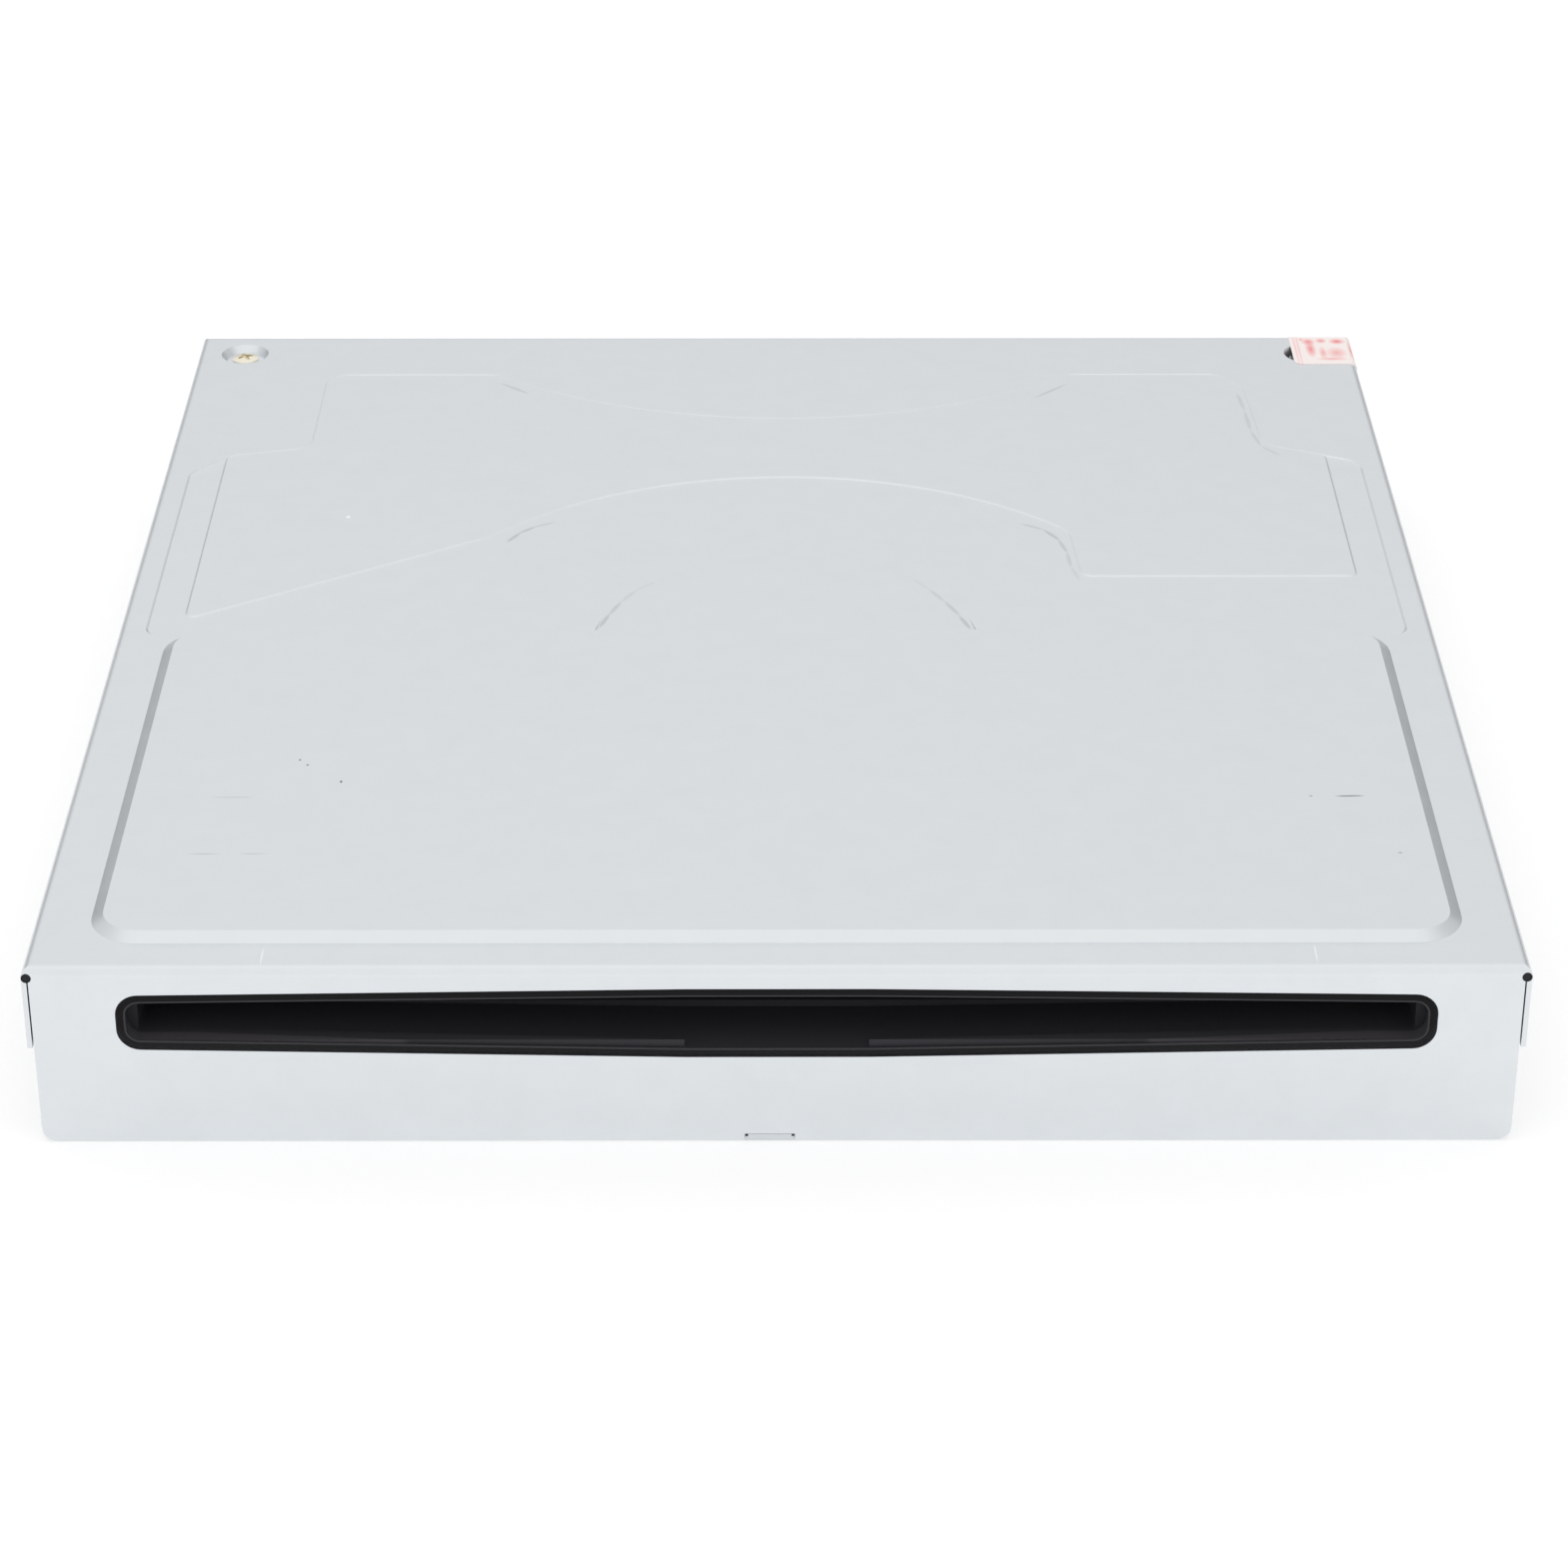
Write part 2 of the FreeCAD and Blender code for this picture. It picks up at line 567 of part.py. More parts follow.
for name, side in (("cover_screw_left", -1), ("cover_screw_right", 1)):
    seat = at(side * COVER_SCREW_X, COVER_SCREW_BACK, RIM_HEIGHT - DIMPLE_DEPTH)
    fit = COVER_SCREW_RADIUS - SHAFT_GAP / 5
    save(name, screw(COVER_SCREW_HEAD, fit, 3.0, DIMPLE_DEPTH - 0.15, seat, DOWN))

seal_cover = box(
    (-HALF_WIDTH - SEAL_THICKNESS, HALF_WIDTH + SEAL_THICKNESS),
    (-SEAL_THICKNESS, DEPTH + SEAL_THICKNESS),
    (0.0, RIM_HEIGHT + SEAL_THICKNESS),
)
seal_rims = [e for e in seal_cover.Edges if abs(e.CenterOfMass.z - RIM_HEIGHT - SEAL_THICKNESS) < 1e-6]
seal_cover = seal_cover.makeFillet(BEND_RADIUS + SEAL_THICKNESS, seal_rims)
cover_block = box((-HALF_WIDTH, HALF_WIDTH), (0.0, DEPTH), (-1.0, RIM_HEIGHT))
cover_rims = [e for e in cover_block.Edges if abs(e.CenterOfMass.z - RIM_HEIGHT) < 1e-6]
cover_block = cover_block.makeFillet(BEND_RADIUS, cover_rims)
seal_area = slab(
    rectangle((SEAL_X, HALF_WIDTH + 1.0), (SEAL_BACK, DEPTH + 1.0), SEAL_CORNER),
    (RIM_HEIGHT - BEND_RADIUS * 0.8, RIM_HEIGHT + 1.0),
)
save("tamper_seal", seal_cover.cut(cover_block).common(seal_area))


# Upper guide with the clamp puck and the disc levers

GUIDE_BOTTOM = 16.9
GUIDE_THICKNESS = 1.2
GUIDE_TOP = GUIDE_BOTTOM + GUIDE_THICKNESS
GUIDE_HALF_WIDTH = HALF_WIDTH - 2.4
GUIDE_FRONT_BACK = 10.0
GUIDE_REAR_BACK = 134.0
GUIDE_COLUMN_RADIUS = 2.8
PUCK_HOLE_RADIUS = 14.5
PUCK_FLANGE_RADIUS = 16.2
PUCK_BODY_RADIUS = 13.6
PUCK_BOTTOM = 15.0
PUCK_FLANGE_THICKNESS = 1.0
PUCK_LIFT = 0.1
MAGNET_OUTER = 9.0
MAGNET_INNER = 5.0
MAGNET_HEIGHT = 1.6
LEVER_PIVOT_X = 58.0
LEVER_PIVOT_BACK = 118.0
LEVER_TIP_X = 14.0
LEVER_TIP_BACK = 104.0
LEVER_TOP = GUIDE_BOTTOM - 0.2
LEVER_THICKNESS = 1.2
LEVER_BOTTOM = LEVER_TOP - LEVER_THICKNESS
LEVER_PIN_RADIUS = 2.0
LEVER_PIN_BOTTOM = 12.6
LEVER_BOSS_RADIUS = 4.2
LEVER_STUD_RADIUS = 2.0
LEVER_HALF_WIDTH = 2.6
LEVER_SCREW_HEAD = 3.2
LEVER_SCREW_RADIUS = 0.9


def make_guide():
    """Moulded plate under the cover, on four columns, with the puck hole and the lever studs."""
    plate = slab(
        rectangle((-GUIDE_HALF_WIDTH, GUIDE_HALF_WIDTH), (GUIDE_FRONT_BACK, GUIDE_REAR_BACK), 3.0),
        (GUIDE_BOTTOM, GUIDE_TOP),
    )
    additions = []
    cuts = [rod(PUCK_HOLE_RADIUS, at(0.0, SPINDLE_BACK, GUIDE_BOTTOM - 1.0), UP, 5.0)]
    for column_x, column_back in GUIDE_SCREWS:
        foot = at(column_x, column_back, FLOOR)
        additions.append(
            Part.makeCone(GUIDE_COLUMN_RADIUS, GUIDE_COLUMN_RADIUS - 0.4, GUIDE_BOTTOM - FLOOR + 0.1, foot)
        )
        cuts.append(rod(GUIDE_SCREW_RADIUS - 0.1, foot - UP, UP, GUIDE_SCREW_HOLE_DEPTH + 0.5))
    for side in (-1, 1):
        stud = at(side * LEVER_PIVOT_X, LEVER_PIVOT_BACK, LEVER_BOTTOM - 0.1)
        additions.append(rod(LEVER_STUD_RADIUS, stud, UP, GUIDE_TOP - LEVER_BOTTOM + 0.1))
        cuts.append(rod(LEVER_SCREW_RADIUS, stud - UP, UP, GUIDE_TOP - LEVER_BOTTOM + 0.6))
        rib = [
            (side * (HALF_WIDTH - 11.0), GUIDE_FRONT_BACK, 0.0),
            (side * (HALF_WIDTH - 3.0), GUIDE_FRONT_BACK, 0.0),
            (side * (HALF_WIDTH - 3.0), GUIDE_WINDOW_REAR, 0.0),
            (side * (HALF_WIDTH - 4.4), GUIDE_WINDOW_REAR, 0.0),
        ]
        additions.append(slab(rib, (GUIDE_BOTTOM - 0.8, GUIDE_BOTTOM + 0.1)))
        window = rectangle(sorted((side * 24.0, side * 50.0)), (GUIDE_WINDOW_REAR - 20.0, GUIDE_WINDOW_REAR), 4.0)
        cuts.append(slab(window, (GUIDE_BOTTOM - 1.0, GUIDE_TOP + 1.0)))
    collar = tube(
        PUCK_FLANGE_RADIUS + 1.4,
        PUCK_FLANGE_RADIUS + 0.5,
        at(0.0, SPINDLE_BACK, GUIDE_TOP - 0.1),
        UP,
        0.9,
    )
    additions.append(collar)
    return plate.fuse(additions).cut(cuts)


save("upper_guide", make_guide())

guide_screws = []
for screw_x, screw_back in GUIDE_SCREWS:
    head = Part.makeCone(
        GUIDE_SCREW_HEAD - 0.1, GUIDE_SCREW_RADIUS - 0.1, FLOOR, at(screw_x, screw_back, 0.0)
    )
    shank = rod(GUIDE_SCREW_RADIUS - 0.1, at(screw_x, screw_back, FLOOR - 0.1), UP, GUIDE_SCREW_LENGTH)
    guide_screws.append(head.fuse(shank))
save("guide_screws", Part.makeCompound(guide_screws))

puck_flange_bottom = GUIDE_TOP + PUCK_LIFT
puck_top = puck_flange_bottom + PUCK_FLANGE_THICKNESS
clamp_puck = turned(
    [
        (0.0, PUCK_BOTTOM + 2.2),
        (3.0, PUCK_BOTTOM + 2.2),
        (3.0, PUCK_BOTTOM + 0.6),
        (11.0, PUCK_BOTTOM + 0.6),
        (11.0, PUCK_BOTTOM),
        (PUCK_BODY_RADIUS - 0.4, PUCK_BOTTOM),
        (PUCK_BODY_RADIUS, PUCK_BOTTOM + 0.4),
        (PUCK_BODY_RADIUS, puck_flange_bottom),
        (PUCK_FLANGE_RADIUS, puck_flange_bottom),
        (PUCK_FLANGE_RADIUS, puck_top),
        (MAGNET_OUTER, puck_top),
        (MAGNET_OUTER, puck_top - MAGNET_HEIGHT),
        (0.0, puck_top - MAGNET_HEIGHT),
    ],
    at(0.0, SPINDLE_BACK, 0.0),
)
save("clamp_puck", clamp_puck)
magnet_seat = at(0.0, SPINDLE_BACK, puck_top - MAGNET_HEIGHT)
save("clamp_magnet", tube(MAGNET_OUTER, MAGNET_INNER, magnet_seat, UP, MAGNET_HEIGHT))


def make_lever(side):
    """Moulded lever with a boss at its pivot and a pin that feels the edge of the disc."""
    run_x = LEVER_TIP_X - LEVER_PIVOT_X
    run_back = LEVER_TIP_BACK - LEVER_PIVOT_BACK
    length = math.hypot(run_x, run_back)
    wide_x = -run_back / length
    wide_back = run_x / length
    waist = LEVER_HALF_WIDTH
    tip = LEVER_HALF_WIDTH * 0.75
    arm = [
        (LEVER_PIVOT_X + wide_x * waist, LEVER_PIVOT_BACK + wide_back * waist, 0.0),
        (LEVER_TIP_X + wide_x * tip, LEVER_TIP_BACK + wide_back * tip, 0.0),
        (LEVER_TIP_X - wide_x * tip, LEVER_TIP_BACK - wide_back * tip, 0.0),
        (LEVER_PIVOT_X - wide_x * waist, LEVER_PIVOT_BACK - wide_back * waist, 0.0),
    ]
    arm = slab(arm, (LEVER_BOTTOM, LEVER_TOP))
    pivot = at(LEVER_PIVOT_X, LEVER_PIVOT_BACK, LEVER_BOTTOM)
    tip = at(LEVER_TIP_X, LEVER_TIP_BACK, LEVER_BOTTOM)
    lever = arm.fuse(
        [
            rod(LEVER_BOSS_RADIUS, pivot, UP, LEVER_THICKNESS),
            rod(LEVER_PIN_RADIUS + 0.6, tip, UP, LEVER_THICKNESS),
            rod(
                LEVER_PIN_RADIUS - 0.8,
                at(LEVER_TIP_X, LEVER_TIP_BACK, LEVER_PIN_BOTTOM),
                UP,
                LEVER_TOP - LEVER_PIN_BOTTOM,
            ),
        ]
    )
    lever = lever.cut(rod(LEVER_STUD_RADIUS + SHAFT_GAP, pivot - UP, UP, 5.0))
    roller = tube(
        LEVER_PIN_RADIUS,
        LEVER_PIN_RADIUS - 0.8,
        at(LEVER_TIP_X, LEVER_TIP_BACK, LEVER_PIN_BOTTOM),
        UP,
        LEVER_BOTTOM - LEVER_PIN_BOTTOM,
    )
    if side < 0:
        return mirrored(lever), mirrored(roller)
    return lever, roller


for name, side in (("left", -1), ("right", 1)):
    lever, roller = make_lever(side)
    save("disc_lever_" + name, lever)
    save("lever_sleeve_" + name, roller)

lever_screws = []
for side in (-1, 1):
    under = at(side * LEVER_PIVOT_X, LEVER_PIVOT_BACK, LEVER_BOTTOM - 0.1)
    lever_screws.append(screw(LEVER_SCREW_HEAD, LEVER_SCREW_RADIUS, 2.0, 0.8, under, UP))
save("lever_screws", Part.makeCompound(lever_screws))


# Loader base: plate with bearing posts for the roller arm

BASE_BOTTOM = FLOOR
BASE_THICKNESS = 1.0
BASE_TOP = BASE_BOTTOM + BASE_THICKNESS
BASE_HALF_WIDTH = HALF_WIDTH - 2.0
BASE_FRONT_BACK = 9.0
BASE_REAR_BACK = 45.0
BASE_SCREWS = [(-56.0, 28.0), (56.0, 28.0), (-56.0, 41.0), (36.0, 31.0)]
ARM_PIVOT_BACK = 24.0
ARM_PIVOT_Z = 6.5
ROLLER_Z = 8.9
GEAR_MODULE = 0.5
GEAR_PLAY = 0.22
ROLLER_TEETH = 15
ARM_LENGTH = GEAR_MODULE * ROLLER_TEETH
ROLLER_RISE = ROLLER_Z - ARM_PIVOT_Z
ROLLER_BACK = ARM_PIVOT_BACK - math.sqrt(ARM_LENGTH**2 - ROLLER_RISE**2)
ROLLER_DROP = 3.0
ROLLER_END_RADIUS = DISC_UNDERSIDE - ROLLER_Z
ROLLER_WAIST_RADIUS = 3.6
ROLLER_SHAFT_RADIUS = 1.2
ARM_PIN_RADIUS = 1.5
ARM_BAR_RADIUS = 2.1
ARM_CHEEK_X = 60.5
ARM_CHEEK_THICKNESS = 2.0
POST_INNER_X = 68.6
POST_THICKNESS = 2.4
POST_HALF_BACK = 3.0
TAIL_X = 20.0
TAIL_LENGTH = 14.0
TAIL_TIP_RADIUS = 0.8
TAIL_TIP_Z = 5.0

# Cam slider
SLIDER_HALF_WIDTH = 40.0
SLIDER_TRAVEL = 10.0
SLIDER_FRONT_BACK = 37.0
SLIDER_REAR_BACK = 44.0
SLIDER_BOTTOM = BASE_TOP + 0.1
SLIDER_THICKNESS = 1.6
SLIDER_TOP = SLIDER_BOTTOM + SLIDER_THICKNESS
SLIDER_WALL_BACK = 41.6
SLIDER_WALL_TOP = 11.6
TAIL_GAP = 0.06

# Lifting frame
HINGE_BACK = DEPTH - 14.2
HINGE_Z = 6.0
SPINDLE_DROP = 3.3
FRAME_LENGTH = HINGE_BACK - SPINDLE_BACK
FRAME_ANGLE = math.degrees(math.asin(SPINDLE_DROP / FRAME_LENGTH))
LIFT_PIN_X = 22.0
LIFT_PIN_Z = 7.0
LIFT_PIN_RADIUS = 1.0

# Cam drive
CAM_MODULE = 0.4
CAM_RACK_MODULE = 0.5
CAM_PINION_TEETH = 12
CAM_WHEEL_TEETH = 30
CAM_MOTOR_TEETH = 10
CAM_X = -25.0
CAM_PITCH_RADIUS = CAM_RACK_MODULE * CAM_PINION_TEETH / 2
RACK_LINE_BACK = SLIDER_FRONT_BACK - 0.6
CAM_BACK = RACK_LINE_BACK - CAM_PITCH_RADIUS
CAM_CENTRES = CAM_MODULE * (CAM_WHEEL_TEETH + CAM_MOTOR_TEETH) / 2
CAM_PIN_RADIUS = 1.0
CAM_MOTOR_RADIUS = 6.0
CAM_BRIDGE_BOTTOM = 5.1

# Feed motor
MOTOR_BACK = 39.4
MOTOR_RADIUS = 5.6
MOTOR_FLAT = 4.9
MOTOR_LEFT_X = 44.5
MOTOR_RIGHT_X = 62.5
MOTOR_SHAFT_RADIUS = 0.75
BELT_LEFT_X = 66.2
BELT_WIDTH = 1.4
BELT_THICKNESS = 0.9
MOTOR_PULLEY_RADIUS = 1.6
ARM_PULLEY_RADIUS = 3.4


def gear(teeth, module, centre, axis, thickness, first_angle, play):
    """Spur gear with straight-flanked teeth; first_angle in degrees points a tooth from the centre."""
    pitch = module * teeth / 2
    tip = pitch + module * 0.9
    root = pitch - module * 1.15
    step = 2 * math.pi / teeth
    half = step / 4 * (1 - play)
    tip_half = half * 0.42
    root_half = half * 1.45
    side = axis.cross(UP)
    if side.Length < 0.5:
        side = TO_RIGHT
    other = axis.cross(side)
    points = []
    for tooth in range(teeth):
        middle = math.radians(first_angle) + tooth * step
        for radius, angle in ((root, -root_half), (tip, -tip_half), (tip, tip_half), (root, root_half)):
            u = radius * math.cos(middle + angle)
            v = radius * math.sin(middle + angle)
            points.append(centre + side * u + other * v)
    face = Part.Face(Part.makePolygon(points + points[:1]))
    return face.extrude(axis * thickness)


def make_base():
    """Moulded base of the loader with an opening under the roller and a post at each end of the arm."""
    plate = slab(
        rectangle((-BASE_HALF_WIDTH, BASE_HALF_WIDTH), (BASE_FRONT_BACK, BASE_REAR_BACK), 2.0),
        (BASE_BOTTOM, BASE_TOP),
    )
    under_roller = rectangle(
        (-ARM_CHEEK_X - 6.0, ARM_CHEEK_X + 6.0), (ROLLER_BACK - 6.0, ROLLER_BACK + 6.0), 1.5
    )
    cuts = [slab(under_roller, (BASE_BOTTOM - 1.0, BASE_TOP + 1.0))]
    additions = []
    for side in (-1, 1):
        x = sorted((side * POST_INNER_X, side * (POST_INNER_X + POST_THICKNESS)))
        post = [
            (ARM_PIVOT_BACK - POST_HALF_BACK - 1.0, BASE_TOP - 0.1, 0.0),
            (ARM_PIVOT_BACK + POST_HALF_BACK + 1.0, BASE_TOP - 0.1, 0.0),
            (ARM_PIVOT_BACK + POST_HALF_BACK, ARM_PIVOT_Z + 3.0, 2.0),
            (ARM_PIVOT_BACK - POST_HALF_BACK, ARM_PIVOT_Z + 3.0, 2.0),
        ]
        additions.append(cheek(post, x))
        start = at(x[0] - 1.0, ARM_PIVOT_BACK, ARM_PIVOT_Z)
        cuts.append(rod(ARM_PIN_RADIUS + SHAFT_GAP, start, TO_RIGHT, POST_THICKNESS + 2.0))
    for rail_x in (-46.0, -38.0, 27.0, 34.0):
        additions.append(
            box((rail_x, rail_x + 2.0), (SLIDER_REAR_BACK + 0.1, BASE_REAR_BACK), (BASE_TOP - 0.1, 3.4))
        )
    cradle = box(
        (MOTOR_LEFT_X + 1.0, MOTOR_RIGHT_X - 1.0),
        (MOTOR_BACK - 4.5, MOTOR_BACK + 4.5),
        (BASE_TOP - 0.1, 3.6),
    )
    motor_body = rod(MOTOR_RADIUS, at(MOTOR_LEFT_X, MOTOR_BACK, ARM_PIVOT_Z), TO_RIGHT, 30.0)
    motor_body = motor_body.common(
        box((0.0, 100.0), (0.0, 60.0), (ARM_PIVOT_Z - MOTOR_FLAT, ARM_PIVOT_Z + MOTOR_FLAT))
    )
    additions.append(cradle.cut(motor_body))
    additions.append(
        rod(CAM_PIN_RADIUS, at(CAM_X, CAM_BACK, BASE_TOP - 0.1), UP, CAM_BRIDGE_BOTTOM - BASE_TOP + 0.6)
    )
    for screw_x, screw_back in BASE_SCREWS:
        cuts.append(rod(0.9, at(screw_x, screw_back, -1.0), UP, 5.0))
    return plate.fuse(additions).cut(cuts)


save("loader_base", make_base())

base_screws = []
for screw_x, screw_back in BASE_SCREWS:
    base_screws.append(screw(1.9, 0.85, BASE_THICKNESS, 0.9, at(screw_x, screw_back, BASE_TOP), DOWN))
save("base_screws", Part.makeCompound(base_screws))


# Roller arm

def make_arm():
    """Arm moulded in one piece: bar on the pivot line, two cheeks for the roller and a tail."""
    pivot = ARM_PIVOT_BACK
    bar_half = ARM_CHEEK_X + ARM_CHEEK_THICKNESS
    bar = rod(ARM_BAR_RADIUS, at(-bar_half, pivot, ARM_PIVOT_Z), TO_RIGHT, 2 * bar_half)
    reach = POST_INNER_X + POST_THICKNESS - 0.3
    pin = rod(ARM_PIN_RADIUS, at(-reach, pivot, ARM_PIVOT_Z), TO_RIGHT, 2 * reach)
    pieces = [pin]
    cuts = []
    for side in (-1, 1):
        x = sorted((side * ARM_CHEEK_X, side * bar_half))
        arm = [
            (ROLLER_BACK - 2.2, ROLLER_Z - 1.6, 1.2),
            (pivot + 1.8, ARM_PIVOT_Z - 2.4, 1.5),
            (pivot + 2.2, ARM_PIVOT_Z + 1.4, 1.5),
            (ROLLER_BACK - 0.6, ROLLER_Z + 2.4, 1.5),
        ]
        pieces.append(cheek(arm, x))
        start = at(x[0] - 1.0, ROLLER_BACK, ROLLER_Z)
        cuts.append(rod(ROLLER_SHAFT_RADIUS + SHAFT_GAP, start, TO_RIGHT, ARM_CHEEK_THICKNESS + 2.0))
    tail_back = pivot + math.sqrt(TAIL_LENGTH**2 - (ARM_PIVOT_Z - TAIL_TIP_Z) ** 2)
    tail = [
        (pivot, ARM_PIVOT_Z - 1.2, 0.0),
        (tail_back, TAIL_TIP_Z + 0.1, 0.0),
        (tail_back, TAIL_TIP_Z + 0.7, 0.3),
        (pivot, ARM_PIVOT_Z + 1.2, 0.0),
    ]
    pieces.append(cheek(tail, (TAIL_X - 0.6, TAIL_X + 0.6)))
    tip = Part.makeSphere(TAIL_TIP_RADIUS, at(TAIL_X, tail_back, TAIL_TIP_Z))
    pieces.append(tip)
    return bar.fuse(pieces).cut(cuts)


save("roller_arm", make_arm())

roller_end = ARM_CHEEK_X + ARM_CHEEK_THICKNESS + 3.6
shaft_start = at(-ARM_CHEEK_X - ARM_CHEEK_THICKNESS - 0.6, ROLLER_BACK, ROLLER_Z)
roller_shaft = rod(
    ROLLER_SHAFT_RADIUS, shaft_start, TO_RIGHT, roller_end + ARM_CHEEK_X + ARM_CHEEK_THICKNESS + 0.6
)
save("roller_shaft", roller_shaft)

for name, side in (("left", -1), ("right", 1)):
    inner_end = at(side * 3.0, ROLLER_BACK, ROLLER_Z)
    outward = TO_RIGHT * side
    sleeve = Part.makeCone(ROLLER_WAIST_RADIUS, ROLLER_END_RADIUS, ARM_CHEEK_X - 3.5, inner_end, outward)
    sleeve = sleeve.cut(rod(ROLLER_SHAFT_RADIUS, inner_end - outward, outward, ARM_CHEEK_X + 2.0))
    save("roller_sleeve_" + name, sleeve)

gear_x = ARM_CHEEK_X + ARM_CHEEK_THICKNESS + 0.5
gear_width = 2.4
roller_gear_width = gear_width - 0.3
mesh_angle = math.degrees(math.atan2(ROLLER_RISE, ARM_PIVOT_BACK - ROLLER_BACK))
roller_centre = at(gear_x, ROLLER_BACK, ROLLER_Z)
pivot_centre = at(gear_x, ARM_PIVOT_BACK, ARM_PIVOT_Z)
half_tooth = 180.0 / ROLLER_TEETH
roller_gear = gear(
    ROLLER_TEETH,
    GEAR_MODULE,
    roller_centre,
    TO_RIGHT,
    roller_gear_width,
    180 - mesh_angle + half_tooth,
    GEAR_PLAY,
)
roller_gear = roller_gear.cut(
    rod(ROLLER_SHAFT_RADIUS, roller_centre - TO_RIGHT, TO_RIGHT, gear_width + 2.0)
)
save("roller_gear", roller_gear)

pulley_gear = gear(ROLLER_TEETH, GEAR_MODULE, pivot_centre, TO_RIGHT, gear_width, -mesh_angle, GEAR_PLAY)
pulley_start = at(gear_x + gear_width - 0.01, ARM_PIVOT_BACK, ARM_PIVOT_Z)
groove_start = BELT_LEFT_X - 0.15
groove_end = BELT_LEFT_X + BELT_WIDTH + 0.15
pulley_end = POST_INNER_X - 0.2
pulley_gear = pulley_gear.fuse(
    [
        rod(ARM_PULLEY_RADIUS + 1.1, pulley_start, TO_RIGHT, groove_start - gear_x - gear_width + 0.01),
        rod(ARM_PULLEY_RADIUS, pulley_start, TO_RIGHT, pulley_end - gear_x - gear_width),
        rod(
            ARM_PULLEY_RADIUS + 1.1,
            at(groove_end, ARM_PIVOT_BACK, ARM_PIVOT_Z),
            TO_RIGHT,
            pulley_end - groove_end,
        ),
    ]
)
pulley_gear = pulley_gear.cut(rod(ARM_PIN_RADIUS + SHAFT_GAP, pivot_centre - TO_RIGHT, TO_RIGHT, 12.0))
save("pulley_gear", pulley_gear)


def belt_ring(back_a, radius_a, back_b, radius_b, x, width):
    """Filled shape of a belt round two pulleys at the same height."""
    span = back_b - back_a
    lean = math.acos((radius_a - radius_b) / span)
    points = []
    for back, radius, sign in ((back_a, radius_a, 1), (back_b, radius_b, 1)):
        points.append((back + radius * math.cos(lean), ARM_PIVOT_Z + radius * math.sin(lean)))
    low = [(back, 2 * ARM_PIVOT_Z - z) for back, z in points]
    edges = [
        Part.LineSegment(at(x, *points[0]), at(x, *points[1])).toShape(),
        Part.Arc(at(x, *points[1]), at(x, back_b + radius_b, ARM_PIVOT_Z), at(x, *low[1])).toShape(),
        Part.LineSegment(at(x, *low[1]), at(x, *low[0])).toShape(),
        Part.Arc(at(x, *low[0]), at(x, back_a - radius_a, ARM_PIVOT_Z), at(x, *points[0])).toShape(),
    ]
    return Part.Face(Part.Wire(edges)).extrude(TO_RIGHT * width)


belt_rest = SHAFT_GAP
outer_a = ARM_PULLEY_RADIUS + belt_rest + BELT_THICKNESS
outer_b = MOTOR_PULLEY_RADIUS + belt_rest + BELT_THICKNESS
belt = belt_ring(ARM_PIVOT_BACK, outer_a, MOTOR_BACK, outer_b, BELT_LEFT_X, BELT_WIDTH)
hollow = belt_ring(
    ARM_PIVOT_BACK,
    ARM_PULLEY_RADIUS + belt_rest,
    MOTOR_BACK,
    MOTOR_PULLEY_RADIUS + belt_rest,
    BELT_LEFT_X - 1.0,
    BELT_WIDTH + 2.0,
)
save("drive_belt", belt.cut(hollow))

motor_axis = at(MOTOR_LEFT_X, MOTOR_BACK, ARM_PIVOT_Z)
motor_can = rod(MOTOR_RADIUS, motor_axis, TO_RIGHT, MOTOR_RIGHT_X - MOTOR_LEFT_X)
motor_flats = box(
    (MOTOR_LEFT_X - 1.0, MOTOR_RIGHT_X + 1.0),
    (MOTOR_BACK - 10.0, MOTOR_BACK + 10.0),
    (ARM_PIVOT_Z - MOTOR_FLAT, ARM_PIVOT_Z + MOTOR_FLAT),
)
motor_can = motor_can.common(motor_flats)
nose = rod(2.2, at(MOTOR_RIGHT_X - 0.1, MOTOR_BACK, ARM_PIVOT_Z), TO_RIGHT, 1.1)
bore = rod(MOTOR_SHAFT_RADIUS + SHAFT_GAP, at(MOTOR_RIGHT_X - 3.0, MOTOR_BACK, ARM_PIVOT_Z), TO_RIGHT, 6.0)
save("feed_motor", motor_can.fuse(nose).cut(bore))

pulley_length = groove_end + 0.6 - (groove_start - 0.6)
motor_pulley = rod(
    MOTOR_PULLEY_RADIUS + 0.9, at(groove_start - 0.6, MOTOR_BACK, ARM_PIVOT_Z), TO_RIGHT, pulley_length
)
groove = tube(
    MOTOR_PULLEY_RADIUS + 2.0,
    MOTOR_PULLEY_RADIUS,
    at(groove_start, MOTOR_BACK, ARM_PIVOT_Z),
    TO_RIGHT,
    groove_end - groove_start,
)
motor_pulley = motor_pulley.cut(
    [groove, rod(MOTOR_SHAFT_RADIUS, at(0.0, MOTOR_BACK, ARM_PIVOT_Z), TO_RIGHT, 90.0)]
)
save("motor_pulley", motor_pulley)
shaft_length = groove_end + 0.6 - (MOTOR_RIGHT_X - 2.8)
save(
    "motor_shaft",
    rod(MOTOR_SHAFT_RADIUS, at(MOTOR_RIGHT_X - 2.8, MOTOR_BACK, ARM_PIVOT_Z), TO_RIGHT, shaft_length),
)


# Cam slider and its drive

